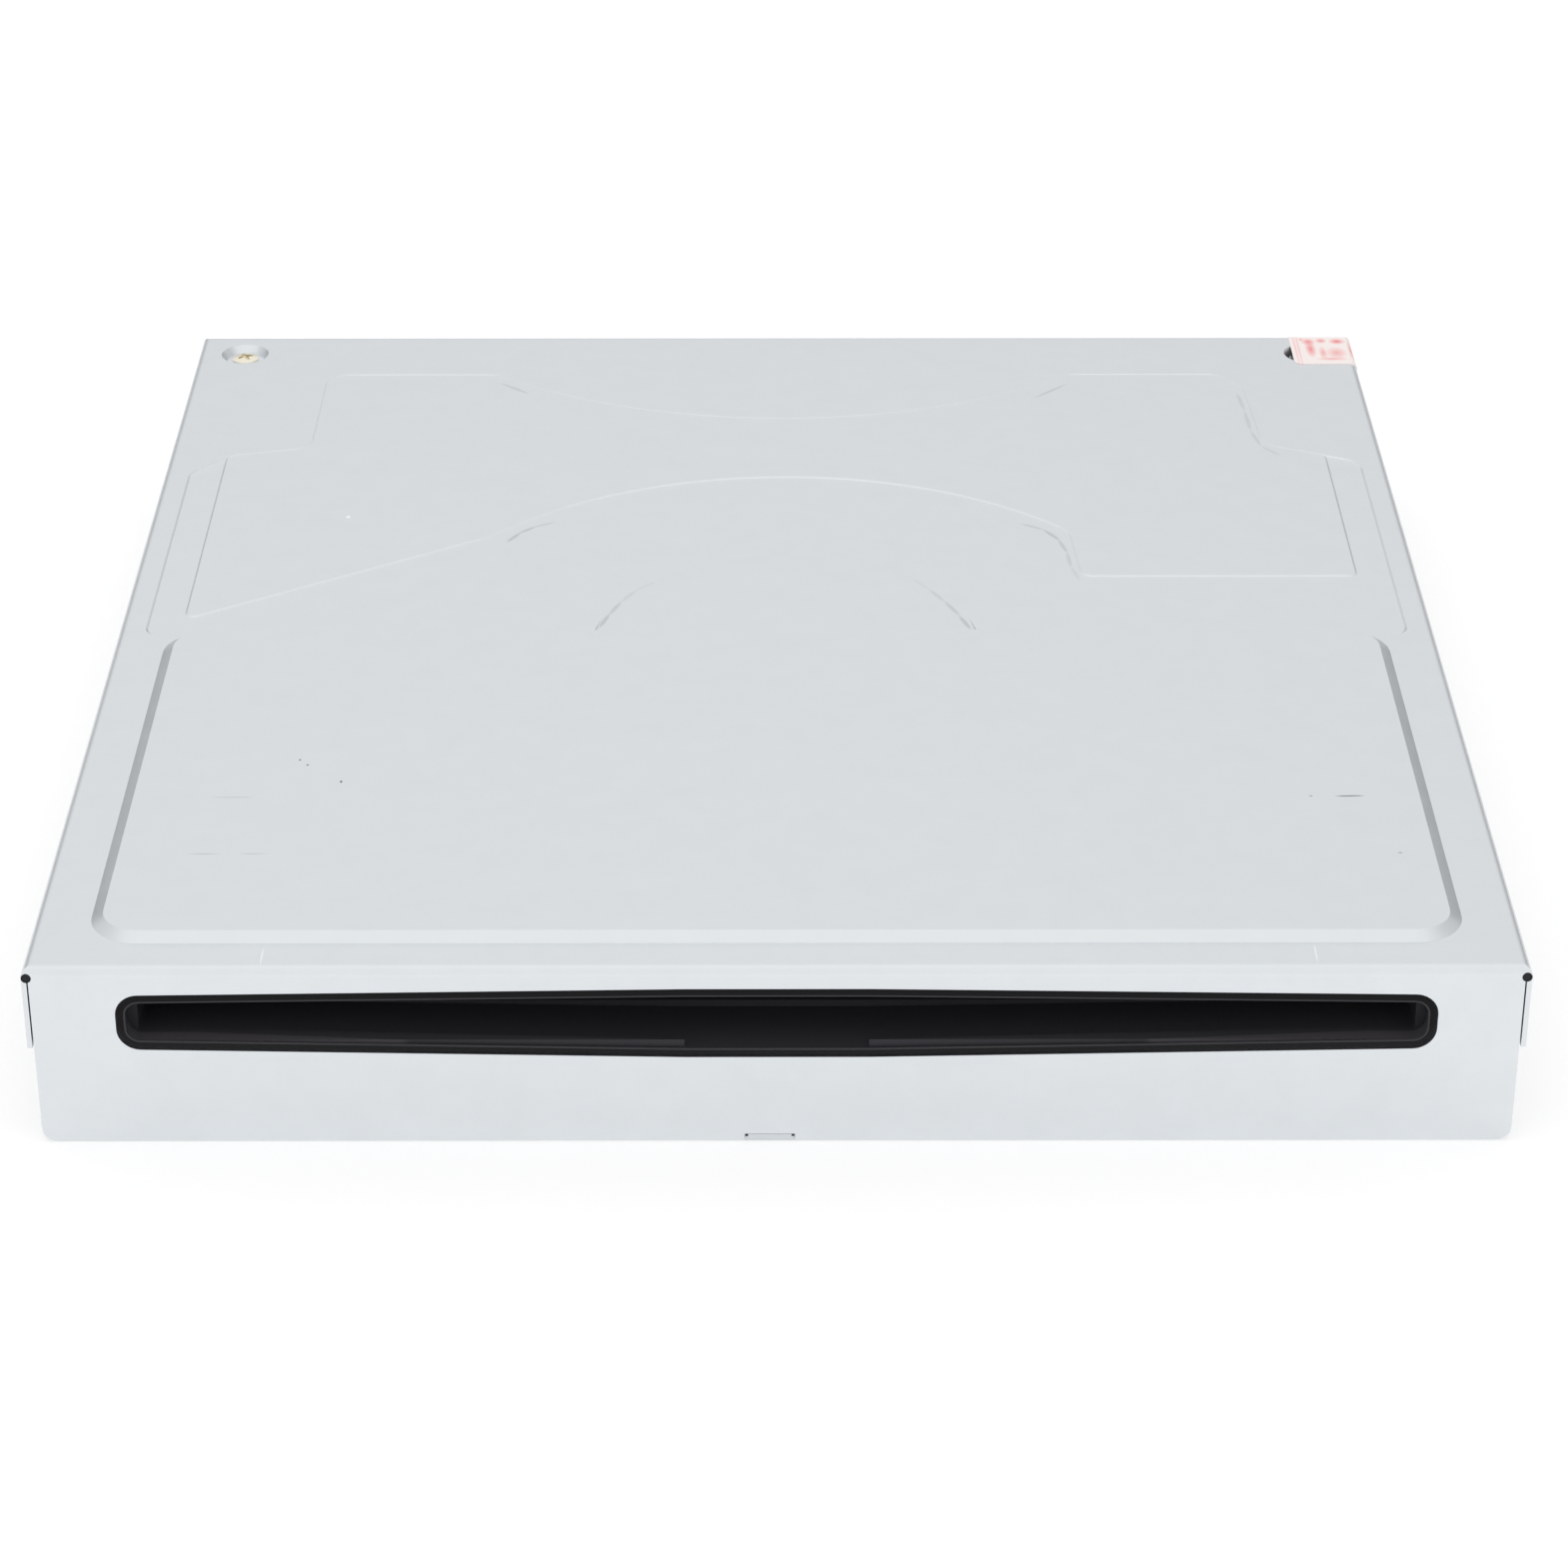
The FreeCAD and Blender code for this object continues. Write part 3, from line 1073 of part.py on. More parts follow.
tail_back = ARM_PIVOT_BACK + math.sqrt(TAIL_LENGTH**2 - (ARM_PIVOT_Z - TAIL_TIP_Z) ** 2)
dropped_rise = ROLLER_RISE - ROLLER_DROP
ARM_ANGLE = math.degrees(math.asin(ROLLER_RISE / ARM_LENGTH) - math.asin(dropped_rise / ARM_LENGTH))
tail_start = math.degrees(math.asin((TAIL_TIP_Z - ARM_PIVOT_Z) / TAIL_LENGTH))
tail_raised_z = ARM_PIVOT_Z + TAIL_LENGTH * math.sin(math.radians(tail_start + ARM_ANGLE))
ramp_low = TAIL_TIP_Z - TAIL_TIP_RADIUS - TAIL_GAP
ramp_high = tail_raised_z - TAIL_TIP_RADIUS - TAIL_GAP


def frame_point(back, z):
    """Place of a point of the level lifting frame once it is lowered to rest."""
    angle = math.radians(FRAME_ANGLE)
    run = back - HINGE_BACK
    rise = z - HINGE_Z
    return (
        HINGE_BACK + run * math.cos(angle) - rise * math.sin(angle),
        HINGE_Z + run * math.sin(angle) + rise * math.cos(angle),
    )


def make_slider():
    """Moulded slider: rack in front, ramp for the arm's tail and two sloping slots for the lift pins."""
    plate = box(
        (-SLIDER_HALF_WIDTH, SLIDER_HALF_WIDTH),
        (SLIDER_FRONT_BACK, SLIDER_REAR_BACK),
        (SLIDER_BOTTOM, SLIDER_TOP),
    )
    wall = [
        (-SLIDER_HALF_WIDTH, SLIDER_TOP - 0.1, 0.0),
        (SLIDER_HALF_WIDTH, SLIDER_TOP - 0.1, 0.0),
        (SLIDER_HALF_WIDTH, 5.5, 1.5),
        (SLIDER_HALF_WIDTH - 5.0, SLIDER_WALL_TOP, 3.0),
        (-SLIDER_HALF_WIDTH + 5.0, SLIDER_WALL_TOP, 3.0),
        (-SLIDER_HALF_WIDTH, 5.5, 1.5),
    ]
    wall = panel(wall, (SLIDER_WALL_BACK, SLIDER_REAR_BACK))
    dwell = TAIL_TIP_RADIUS + 0.4
    ramp_angle = math.atan2(ramp_high - ramp_low, SLIDER_TRAVEL)
    ramp_lead = TAIL_TIP_RADIUS * math.tan(ramp_angle / 2) + TAIL_GAP
    ramp = [
        (TAIL_X - dwell - 1.5, SLIDER_TOP - 0.1, 0.0),
        (TAIL_X + SLIDER_TRAVEL + dwell + 2.0, SLIDER_TOP - 0.1, 0.0),
        (TAIL_X + SLIDER_TRAVEL + dwell + 0.6, ramp_high, 0.5),
        (TAIL_X + SLIDER_TRAVEL + ramp_lead, ramp_high, 0.0),
        (TAIL_X + ramp_lead, ramp_low, 0.0),
        (TAIL_X - dwell - 1.0, ramp_low, 0.3),
    ]
    ramp = panel(ramp, (SLIDER_FRONT_BACK, tail_back + 1.2))
    slots = []
    for side in (-1, 1):
        low_back, low_z = frame_point(SLIDER_WALL_BACK, LIFT_PIN_Z)
        reach = LIFT_PIN_RADIUS + SHAFT_GAP * 3
        start = Vector(side * LIFT_PIN_X, 0, low_z)
        end = Vector(side * LIFT_PIN_X + SLIDER_TRAVEL, 0, LIFT_PIN_Z)
        along = (end - start).normalize()
        across = Vector(-along.z, 0, along.x)
        ring = [start + across * reach, end + across * reach, end - across * reach, start - across * reach]
        ring = [at(p.x, SLIDER_WALL_BACK - 1.0, p.z) for p in ring]
        slot = Part.Face(Part.makePolygon(ring + ring[:1])).extrude(TO_BACK * 5.0)
        for point in (start, end):
            slot = slot.fuse(rod(reach, at(point.x, SLIDER_WALL_BACK - 1.0, point.z), TO_BACK, 5.0))
        slots.append(slot)
    rack = []
    pitch = math.pi * CAM_RACK_MODULE
    count = 9
    addendum = CAM_RACK_MODULE * 0.9
    base = SLIDER_FRONT_BACK + 0.1
    for tooth in range(count):
        middle = CAM_X + pitch * (tooth - 1)
        profile = [
            (middle - pitch * 0.33, base, 0.0),
            (middle - pitch * 0.1, RACK_LINE_BACK - addendum, 0.0),
            (middle + pitch * 0.1, RACK_LINE_BACK - addendum, 0.0),
            (middle + pitch * 0.33, base, 0.0),
        ]
        rack.append(slab(profile, (SLIDER_BOTTOM + 0.3, SLIDER_TOP)))
    return plate.fuse([wall, ramp] + rack).cut(slots)


save("cam_slider", make_slider())

wheel_z = SLIDER_TOP + 0.3
pinion_z = SLIDER_BOTTOM + 0.1
CAM_WHEEL_THICKNESS = 1.3
cam_centre = at(CAM_X, CAM_BACK, pinion_z)
pinion_half = 180.0 / CAM_PINION_TEETH
cam_pinion = gear(
    CAM_PINION_TEETH,
    CAM_RACK_MODULE,
    cam_centre,
    UP,
    wheel_z - pinion_z + 0.1,
    90.0 + pinion_half,
    GEAR_PLAY,
)
wheel_centre = at(CAM_X, CAM_BACK, wheel_z)
cam_wheel = gear(CAM_WHEEL_TEETH, CAM_MODULE, wheel_centre, UP, CAM_WHEEL_THICKNESS, 180.0, GEAR_PLAY)
cam_bore = rod(CAM_PIN_RADIUS + SHAFT_GAP, at(CAM_X, CAM_BACK, 0.0), UP, RIM_HEIGHT)
save("cam_gear", cam_pinion.fuse(cam_wheel).cut(cam_bore))

motor_centre_x = CAM_X - CAM_CENTRES
CAM_MOTOR_TOP = 12.2
CAM_BRIDGE_THICKNESS = 0.6
bridge_top = CAM_BRIDGE_BOTTOM + CAM_BRIDGE_THICKNESS
motor_half = 180.0 / CAM_MOTOR_TEETH
cam_motor_gear = gear(
    CAM_MOTOR_TEETH,
    CAM_MODULE,
    at(motor_centre_x, CAM_BACK, wheel_z),
    UP,
    CAM_WHEEL_THICKNESS,
    motor_half,
    GEAR_PLAY,
)
cam_shaft = rod(0.6, at(motor_centre_x, CAM_BACK, wheel_z - 0.1), UP, bridge_top + 2.0 - wheel_z)
save("cam_motor_gear", cam_motor_gear.fuse(cam_shaft))

BRIDGE_LEFT_X = motor_centre_x - CAM_MOTOR_RADIUS - 2.0
BRIDGE_RIGHT_X = CAM_X + CAM_MODULE * CAM_WHEEL_TEETH / 2 + 3.5
BRIDGE_FRONT_BACK = 27.0
BRIDGE_REAR_BACK = 36.8
bridge = box(
    (BRIDGE_LEFT_X, BRIDGE_RIGHT_X), (BRIDGE_FRONT_BACK, BRIDGE_REAR_BACK), (CAM_BRIDGE_BOTTOM, bridge_top)
)
bridge_legs = []
for leg_x in (BRIDGE_LEFT_X, BRIDGE_RIGHT_X - CAM_BRIDGE_THICKNESS):
    leg = (leg_x, leg_x + CAM_BRIDGE_THICKNESS)
    bridge_legs.append(
        box(leg, (BRIDGE_FRONT_BACK, BRIDGE_REAR_BACK - 1.0), (BASE_TOP, CAM_BRIDGE_BOTTOM + 0.1))
    )
bridge = bridge.fuse(bridge_legs)
bridge = bridge.cut(
    [
        rod(CAM_PIN_RADIUS + 0.02, at(CAM_X, CAM_BACK, 0.0), UP, 20.0),
        rod(1.2, at(motor_centre_x, CAM_BACK, 0.0), UP, 20.0),
    ]
)
save("cam_bridge", bridge)
cam_motor = rod(CAM_MOTOR_RADIUS, at(motor_centre_x, CAM_BACK, bridge_top), UP, CAM_MOTOR_TOP - bridge_top)
cam_motor = cam_motor.makeChamfer(0.4, [cam_motor.Edges[0]])
cam_motor = cam_motor.cut(rod(0.6 + SHAFT_GAP, at(motor_centre_x, CAM_BACK, bridge_top - 1.0), UP, 3.6))
save("cam_motor", cam_motor)


# Lifting frame and what it carries, modelled level and then lowered to rest

FRAME_BOTTOM = 6.0
FRAME_TOP = 8.0
FRAME_HALF_WIDTH = 38.0
FRAME_FRONT_BACK = 46.0
FRAME_REAR_BACK = HINGE_BACK + 3.0
WINDOW_HALF_WIDTH = FRAME_HALF_WIDTH - 12.0
WINDOW_FRONT_BACK = 83.0
WINDOW_REAR_BACK = FRAME_REAR_BACK - 9.0
HINGE_PIN_RADIUS = 1.5
HINGE_PIN_X = FRAME_HALF_WIDTH + 4.0
HUB_HOLE_RADIUS = 13.2
ROD_X = WINDOW_HALF_WIDTH - 4.0
ROD_RADIUS = 1.5
ROD_Z = 7.2
ROD_FRONT_BACK = 80.0
ROD_REAR_BACK = FRAME_REAR_BACK - 6.0
SLED_BACK = 92.0
SLED_HALF_LENGTH = 8.0
SLED_HALF_WIDTH = ROD_X - 4.0
SLED_BOTTOM = 5.7
SLED_TOP = 9.6
LEAD_X = FRAME_HALF_WIDTH - 7.0
LEAD_Z = 10.0
LEAD_RADIUS = 1.4
LEAD_FRONT_BACK = 82.0
SLED_MOTOR_FRONT_BACK = FRAME_REAR_BACK - 14.0
SLED_MOTOR_LENGTH = 11.0
SLED_MOTOR_RADIUS = 3.6
SPINDLE_MOTOR_RADIUS = 12.0
TABLE_RADIUS = 14.0
NOSE_RADIUS = 7.4
NOSE_TOP = 14.9
SPINDLE_RADIUS = 1.0


def lowered(shape):
    """Shape of the level frame turned about the rear hinge to where it rests."""
    turned_shape = shape.copy()
    turned_shape.rotate(at(0.0, HINGE_BACK, HINGE_Z), TO_RIGHT, FRAME_ANGLE)
    return turned_shape


def make_frame():
    """Moulded frame with a round hole for the spindle motor and a window for the pickup sled."""
    plate = slab(
        rectangle((-FRAME_HALF_WIDTH, FRAME_HALF_WIDTH), (FRAME_FRONT_BACK, FRAME_REAR_BACK), 4.0),
        (FRAME_BOTTOM, FRAME_TOP),
    )
    window = rectangle(
        (-WINDOW_HALF_WIDTH, WINDOW_HALF_WIDTH),
        (WINDOW_FRONT_BACK, WINDOW_REAR_BACK),
        2.0,
    )
    cuts = [
        slab(window, (FRAME_BOTTOM - 1.0, FRAME_TOP + 1.0)),
        rod(HUB_HOLE_RADIUS, at(0.0, SPINDLE_BACK, FRAME_BOTTOM - 1.0), UP, 5.0),
    ]
    additions = []
    for side in (-1, 1):
        pin_x = sorted((side * (FRAME_HALF_WIDTH - 1.0), side * HINGE_PIN_X))
        start = at(pin_x[0], HINGE_BACK, HINGE_Z)
        additions.append(rod(HINGE_PIN_RADIUS, start, TO_RIGHT, pin_x[1] - pin_x[0]))
        ear_x = sorted((side * (FRAME_HALF_WIDTH - 4.0), side * FRAME_HALF_WIDTH))
        additions.append(box(ear_x, (HINGE_BACK - 3.0, HINGE_BACK + 3.0), (HINGE_Z - 1.5, FRAME_TOP)))
        lift = at(side * LIFT_PIN_X, SLIDER_WALL_BACK + 0.4, LIFT_PIN_Z)
        additions.append(rod(LIFT_PIN_RADIUS, lift, TO_BACK, FRAME_FRONT_BACK - SLIDER_WALL_BACK + 1.0))
        for seat_back in (ROD_FRONT_BACK, ROD_REAR_BACK - 3.0):
            seat_x = (side * ROD_X - 2.6, side * ROD_X + 2.6)
            additions.append(
                box(seat_x, (seat_back, seat_back + 3.0), (FRAME_TOP - 0.1, ROD_Z + ROD_RADIUS + 0.9))
            )
        groove = rod(
            ROD_RADIUS, at(side * ROD_X, ROD_FRONT_BACK, ROD_Z), TO_BACK, ROD_REAR_BACK - ROD_FRONT_BACK
        )
        cuts.append(groove)
        rim = (side * FRAME_HALF_WIDTH - side * 0.6 - 0.6, side * FRAME_HALF_WIDTH - side * 0.6 + 0.6)
        additions.append(box(rim, (FRAME_FRONT_BACK + 5.0, 120.0), (FRAME_TOP - 0.1, FRAME_TOP + 1.4)))
    bearing = box(
        (LEAD_X - 3.0, LEAD_X + 3.0),
        (LEAD_FRONT_BACK - 2.0, LEAD_FRONT_BACK + 0.6),
        (FRAME_TOP - 0.1, LEAD_Z + 2.4),
    )
    additions.append(bearing)
    cuts.append(rod(LEAD_RADIUS + SHAFT_GAP, at(LEAD_X, LEAD_FRONT_BACK - 1.2, LEAD_Z), TO_BACK, 3.0))
    cuts.append(
        rod(SLED_MOTOR_RADIUS, at(LEAD_X, SLED_MOTOR_FRONT_BACK, LEAD_Z), TO_BACK, SLED_MOTOR_LENGTH)
    )
    return plate.fuse(additions).cut(cuts)


save("lift_frame", lowered(make_frame()))

for name, side in (("left", -1), ("right", 1)):
    guide_rod = rod(
        ROD_RADIUS, at(side * ROD_X, ROD_FRONT_BACK, ROD_Z), TO_BACK, ROD_REAR_BACK - ROD_FRONT_BACK
    )
    save("guide_rod_" + name, lowered(guide_rod))

MOTOR_PLATE_HALF_WIDTH = FRAME_HALF_WIDTH - 19.0
MOTOR_PLATE_AHEAD = 17.0
MOTOR_PLATE_BEHIND = 14.0
BEARING_RADIUS = 2.6
STATOR_RADIUS = 8.6
STATOR_HEIGHT = 2.1
POLE_COUNT = 9
POLE_RADIUS = 0.9
POLE_RING_RADIUS = STATOR_RADIUS - 1.4

motor_plate = slab(
    rectangle(
        (-MOTOR_PLATE_HALF_WIDTH, MOTOR_PLATE_HALF_WIDTH),
        (SPINDLE_BACK - MOTOR_PLATE_AHEAD, SPINDLE_BACK + MOTOR_PLATE_BEHIND),
        5.0,
    ),
    (FRAME_BOTTOM - 0.8, FRAME_BOTTOM),
)
bearing_foot = at(0.0, SPINDLE_BACK, FRAME_BOTTOM - 0.1)
bearing = tube(BEARING_RADIUS, SPINDLE_RADIUS + SHAFT_GAP, bearing_foot, UP, STATOR_HEIGHT + 0.1)
stator = tube(STATOR_RADIUS, BEARING_RADIUS, at(0.0, SPINDLE_BACK, FRAME_BOTTOM), UP, STATOR_HEIGHT)
spindle_bore = rod(SPINDLE_RADIUS + SHAFT_GAP, at(0.0, SPINDLE_BACK, FRAME_BOTTOM - 0.5), UP, 4.0)
save("spindle_plate", lowered(motor_plate.fuse(bearing).cut(spindle_bore)))
poles = []
for pole in range(POLE_COUNT):
    angle = math.radians(pole * 360.0 / POLE_COUNT)
    outwards = Vector(math.cos(angle), math.sin(angle), 0)
    slot_centre = at(0.0, SPINDLE_BACK, FRAME_BOTTOM) + outwards * POLE_RING_RADIUS
    poles.append(rod(POLE_RADIUS, slot_centre - UP, UP, STATOR_HEIGHT + 2.9))
save("spindle_stator", lowered(stator.cut(poles)))

can_bottom = FRAME_BOTTOM + 0.5
can_top = 9.8
rotor = turned(
    [
        (SPINDLE_RADIUS, can_top - 1.2),
        (9.4, can_top - 1.2),
        (SPINDLE_MOTOR_RADIUS - 0.8, can_top - 1.6),
        (SPINDLE_MOTOR_RADIUS - 0.8, can_bottom),
        (SPINDLE_MOTOR_RADIUS, can_bottom),
        (SPINDLE_MOTOR_RADIUS, can_top - 0.6),
        (SPINDLE_MOTOR_RADIUS - 0.6, can_top),
        (SPINDLE_RADIUS, can_top),
    ],
    at(0.0, SPINDLE_BACK, 0.0),
)
save("spindle_rotor", lowered(rotor))
save("spindle_shaft", lowered(rod(SPINDLE_RADIUS, at(0.0, SPINDLE_BACK, FRAME_BOTTOM - 0.4), UP, 7.0)))

PAD_THICKNESS = 0.4
turntable = turned(
    [
        (SPINDLE_RADIUS, can_top),
        (10.0, can_top),
        (TABLE_RADIUS, DISC_UNDERSIDE - 1.6),
        (TABLE_RADIUS, DISC_UNDERSIDE - PAD_THICKNESS),
        (NOSE_RADIUS, DISC_UNDERSIDE - PAD_THICKNESS),
        (NOSE_RADIUS, DISC_UNDERSIDE + 0.7),
        (NOSE_RADIUS - 1.6, NOSE_TOP),
        (3.4, NOSE_TOP),
        (3.4, NOSE_TOP - 0.8),
        (SPINDLE_RADIUS, NOSE_TOP - 0.8),
    ],
    at(0.0, SPINDLE_BACK, 0.0),
)
save("turntable", lowered(turntable))
pad_start = at(0.0, SPINDLE_BACK, DISC_UNDERSIDE - PAD_THICKNESS)
save("turntable_pad", lowered(tube(TABLE_RADIUS - 0.3, TABLE_RADIUS - 3.2, pad_start, UP, PAD_THICKNESS)))


def make_sled():
    """Die-cast sled: body in the window, ears on the rods and a finger at the lead screw."""
    body = slab(
        rectangle(
            (-SLED_HALF_WIDTH, SLED_HALF_WIDTH),
            (SLED_BACK - SLED_HALF_LENGTH, SLED_BACK + SLED_HALF_LENGTH),
            2.5,
        ),
        (SLED_BOTTOM, SLED_TOP),
    )
    additions = []
    cuts = []
    for side in (-1, 1):
        ear_x = sorted((side * (SLED_HALF_WIDTH - 1.0), side * (ROD_X + 2.8)))
        additions.append(
            box(ear_x, (SLED_BACK - 5.0, SLED_BACK + 5.0), (SLED_BOTTOM - 0.4, SLED_TOP + 0.2))
        )
        cuts.append(rod(ROD_RADIUS + SHAFT_GAP, at(side * ROD_X, SLED_BACK - 20.0, ROD_Z), TO_BACK, 40.0))
    additions.append(
        box(
            (ROD_X + 1.0, LEAD_X - LEAD_RADIUS - 0.05),
            (SLED_BACK - 2.5, SLED_BACK + 2.5),
            (SLED_TOP - 0.9, LEAD_Z + 0.8),
        )
    )
    cuts.append(rod(5.2, at(0.0, SLED_BACK, SLED_TOP - 1.5), UP, 4.0))
    return body.fuse(additions).cut(cuts)


save("pickup_sled", lowered(make_sled()))
actuator = turned(
    [
        (0.0, SLED_TOP - 1.5),
        (5.0, SLED_TOP - 1.5),
        (5.0, SLED_TOP + 1.2),
        (4.4, SLED_TOP + 1.7),
        (2.3, SLED_TOP + 1.7),
        (2.3, SLED_TOP + 1.1),
        (0.0, SLED_TOP + 1.1),
    ],
    at(0.0, SLED_BACK, 0.0),
)
save("lens_holder", lowered(actuator))
lens_seat = at(0.0, SLED_BACK, SLED_TOP + 1.1)
lens = rod(2.3, lens_seat, UP, 0.4).fuse(
    Part.makeSphere(3.2, lens_seat - UP * 1.9).common(rod(2.2, lens_seat + UP * 0.3, UP, 2.0))
)
save("pickup_lens", lowered(lens))
lead_length = SLED_MOTOR_FRONT_BACK - LEAD_FRONT_BACK + 1.0
save(
    "lead_screw",
    lowered(rod(LEAD_RADIUS, at(LEAD_X, LEAD_FRONT_BACK - 1.0, LEAD_Z), TO_BACK, lead_length + 2.0)),
)
sled_motor = rod(SLED_MOTOR_RADIUS, at(LEAD_X, SLED_MOTOR_FRONT_BACK, LEAD_Z), TO_BACK, SLED_MOTOR_LENGTH)
sled_motor = sled_motor.cut(
    rod(LEAD_RADIUS + SHAFT_GAP, at(LEAD_X, SLED_MOTOR_FRONT_BACK - 1.0, LEAD_Z), TO_BACK, 4.0)
)
save("sled_motor", lowered(sled_motor))

# Rear hinge blocks of the lifting frame

HINGE_BLOCK_HALF = 3.6


def make_hinge_block(side):
    """Block on the floor with a rubber-bushed hole for the hinge pin of the frame."""
    x = sorted((side * (FRAME_HALF_WIDTH + 0.4), side * (HINGE_PIN_X + 0.6)))
    profile = [
        (HINGE_BACK - HINGE_BLOCK_HALF - 1.0, BOARD_TOP, 0.0),
        (HINGE_BACK + HINGE_BLOCK_HALF + 1.0, BOARD_TOP, 0.0),
        (HINGE_BACK + HINGE_BLOCK_HALF, HINGE_Z + 3.6, 2.0),
        (HINGE_BACK - HINGE_BLOCK_HALF, HINGE_Z + 3.6, 2.0),
    ]
    block = cheek(profile, x)
    start = at(x[0] - 1.0, HINGE_BACK, HINGE_Z)
    bush = tube(
        HINGE_PIN_RADIUS + 1.2,
        HINGE_PIN_RADIUS + SHAFT_GAP,
        at(x[0], HINGE_BACK, HINGE_Z),
        TO_RIGHT,
        x[1] - x[0],
    )
    return block.cut(rod(HINGE_PIN_RADIUS + 1.2, start, TO_RIGHT, 10.0)), bush


for name, side in (("left", -1), ("right", 1)):
    block, bush = make_hinge_block(side)
    save("hinge_block_" + name, block)
    save("hinge_bush_" + name, bush)


# Circuit board

CHIPS = [
    (44.0, BOARD_FRONT_BACK + 14.0, 11.0, 11.0),
    (-44.0, BOARD_FRONT_BACK + 12.0, 9.0, 9.0),
    (-44.0, BOARD_FRONT_BACK + 26.0, 7.0, 5.0),
    (50.5, BOARD_FRONT_BACK + 30.0, 6.0, 8.0),
]
CHIP_HEIGHT = 1.1

board = slab(
    rectangle((-BOARD_HALF_WIDTH, BOARD_HALF_WIDTH), (BOARD_FRONT_BACK, BOARD_REAR_BACK), 2.0),
    (BOARD_BOTTOM, BOARD_TOP),
)
board_holes = [rod(BOARD_SCREW_RADIUS + 0.2, at(x, back, 0.0), UP, 5.0) for x, back in BOARD_SCREWS]
save("circuit_board", board.cut(board_holes))
board_screws = []
for screw_x, screw_back in BOARD_SCREWS:
    board_screws.append(
        screw(
            BOARD_SCREW_HEAD, BOARD_SCREW_RADIUS - 0.05, 2.2, 0.9, at(screw_x, screw_back, BOARD_TOP), DOWN
        )
    )
save("board_screws", Part.makeCompound(board_screws))
chips = []
for chip_x, chip_back, width, length in CHIPS:
    chip = box(
        (chip_x - width / 2, chip_x + width / 2),
        (chip_back - length / 2, chip_back + length / 2),
        (BOARD_TOP, BOARD_TOP + CHIP_HEIGHT),
    )
    chips.append(
        chip.makeChamfer(0.15, [e for e in chip.Edges if e.CenterOfMass.z > BOARD_TOP + CHIP_HEIGHT - 0.01])
    )
save("board_chips", Part.makeCompound(chips))


def make_connector(middle, width, height, length):
    """Connector housing on the rear edge of the board, its mouth facing the opening in the rear wall."""
    half = width / 2
    rear = BOARD_REAR_BACK
    housing = box((middle - half, middle + half), (rear - length, rear), (BOARD_TOP, BOARD_TOP + height))
    mouth = box(
        (middle - half + 0.8, middle + half - 0.8),
        (rear - length + 1.2, rear + 1.0),
        (BOARD_TOP + 0.7, BOARD_TOP + height - 0.7),
    )
    return housing.cut(mouth)


save(
    "ribbon_connector",
    make_connector(SIGNAL_CONNECTOR_X, SIGNAL_CONNECTOR_WIDTH, SIGNAL_CONNECTOR_HEIGHT, 5.0),
)
power_connector = make_connector(POWER_CONNECTOR_X, POWER_CONNECTOR_WIDTH, POWER_CONNECTOR_HEIGHT, 7.4)
power_pins = []
for pin in range(5):
    pin_x = POWER_CONNECTOR_X + (pin - 2) * 2.2
    start = at(pin_x, BOARD_REAR_BACK - 6.4, BOARD_TOP + POWER_CONNECTOR_HEIGHT / 2)
    power_pins.append(rod(0.4, start, TO_BACK, 5.0))
save("power_connector", power_connector.fuse(power_pins))
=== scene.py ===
import math

import bpy
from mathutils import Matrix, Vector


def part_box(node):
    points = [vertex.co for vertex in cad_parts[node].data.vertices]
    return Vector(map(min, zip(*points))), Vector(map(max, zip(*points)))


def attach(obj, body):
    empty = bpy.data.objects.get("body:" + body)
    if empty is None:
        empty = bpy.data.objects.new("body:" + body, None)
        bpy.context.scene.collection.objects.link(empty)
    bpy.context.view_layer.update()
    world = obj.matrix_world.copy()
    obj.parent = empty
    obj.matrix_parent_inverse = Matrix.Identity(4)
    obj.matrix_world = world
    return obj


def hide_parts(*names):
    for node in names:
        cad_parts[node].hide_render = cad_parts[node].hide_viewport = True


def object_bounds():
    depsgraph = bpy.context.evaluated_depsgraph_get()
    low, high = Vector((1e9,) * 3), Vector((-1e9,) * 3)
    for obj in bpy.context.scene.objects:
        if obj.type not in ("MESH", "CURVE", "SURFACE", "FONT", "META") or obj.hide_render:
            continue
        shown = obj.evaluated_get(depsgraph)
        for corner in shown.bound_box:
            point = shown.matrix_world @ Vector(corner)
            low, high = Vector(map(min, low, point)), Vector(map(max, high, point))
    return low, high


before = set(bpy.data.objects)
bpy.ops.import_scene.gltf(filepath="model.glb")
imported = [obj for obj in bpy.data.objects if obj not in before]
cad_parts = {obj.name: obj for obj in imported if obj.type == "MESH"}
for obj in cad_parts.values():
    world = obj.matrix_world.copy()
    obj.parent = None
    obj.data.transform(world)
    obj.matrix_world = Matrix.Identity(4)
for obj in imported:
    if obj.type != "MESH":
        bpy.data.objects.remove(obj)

cad_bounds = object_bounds()


# Camera. It looks at the slot from the front and from a little under thirty degrees above, with
# a long lens. The distances count from the front edge of the cover's rim.

PHOTO_SIZE = 1569
PHOTO_FOCAL = 4338.0
SENSOR = 36.0
CAMERA_DROP = 29.073
CAMERA_YAW = 0.105
CAMERA_RIGHT = 0.00004
CAMERA_FRONT = 0.3567
CAMERA_ABOVE = 0.2187
NEAREST_SEEN = 0.01
RIM_DROP = 0.0008

cover_low, cover_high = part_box("top_cover")
rim_z = cover_high[2] - RIM_DROP

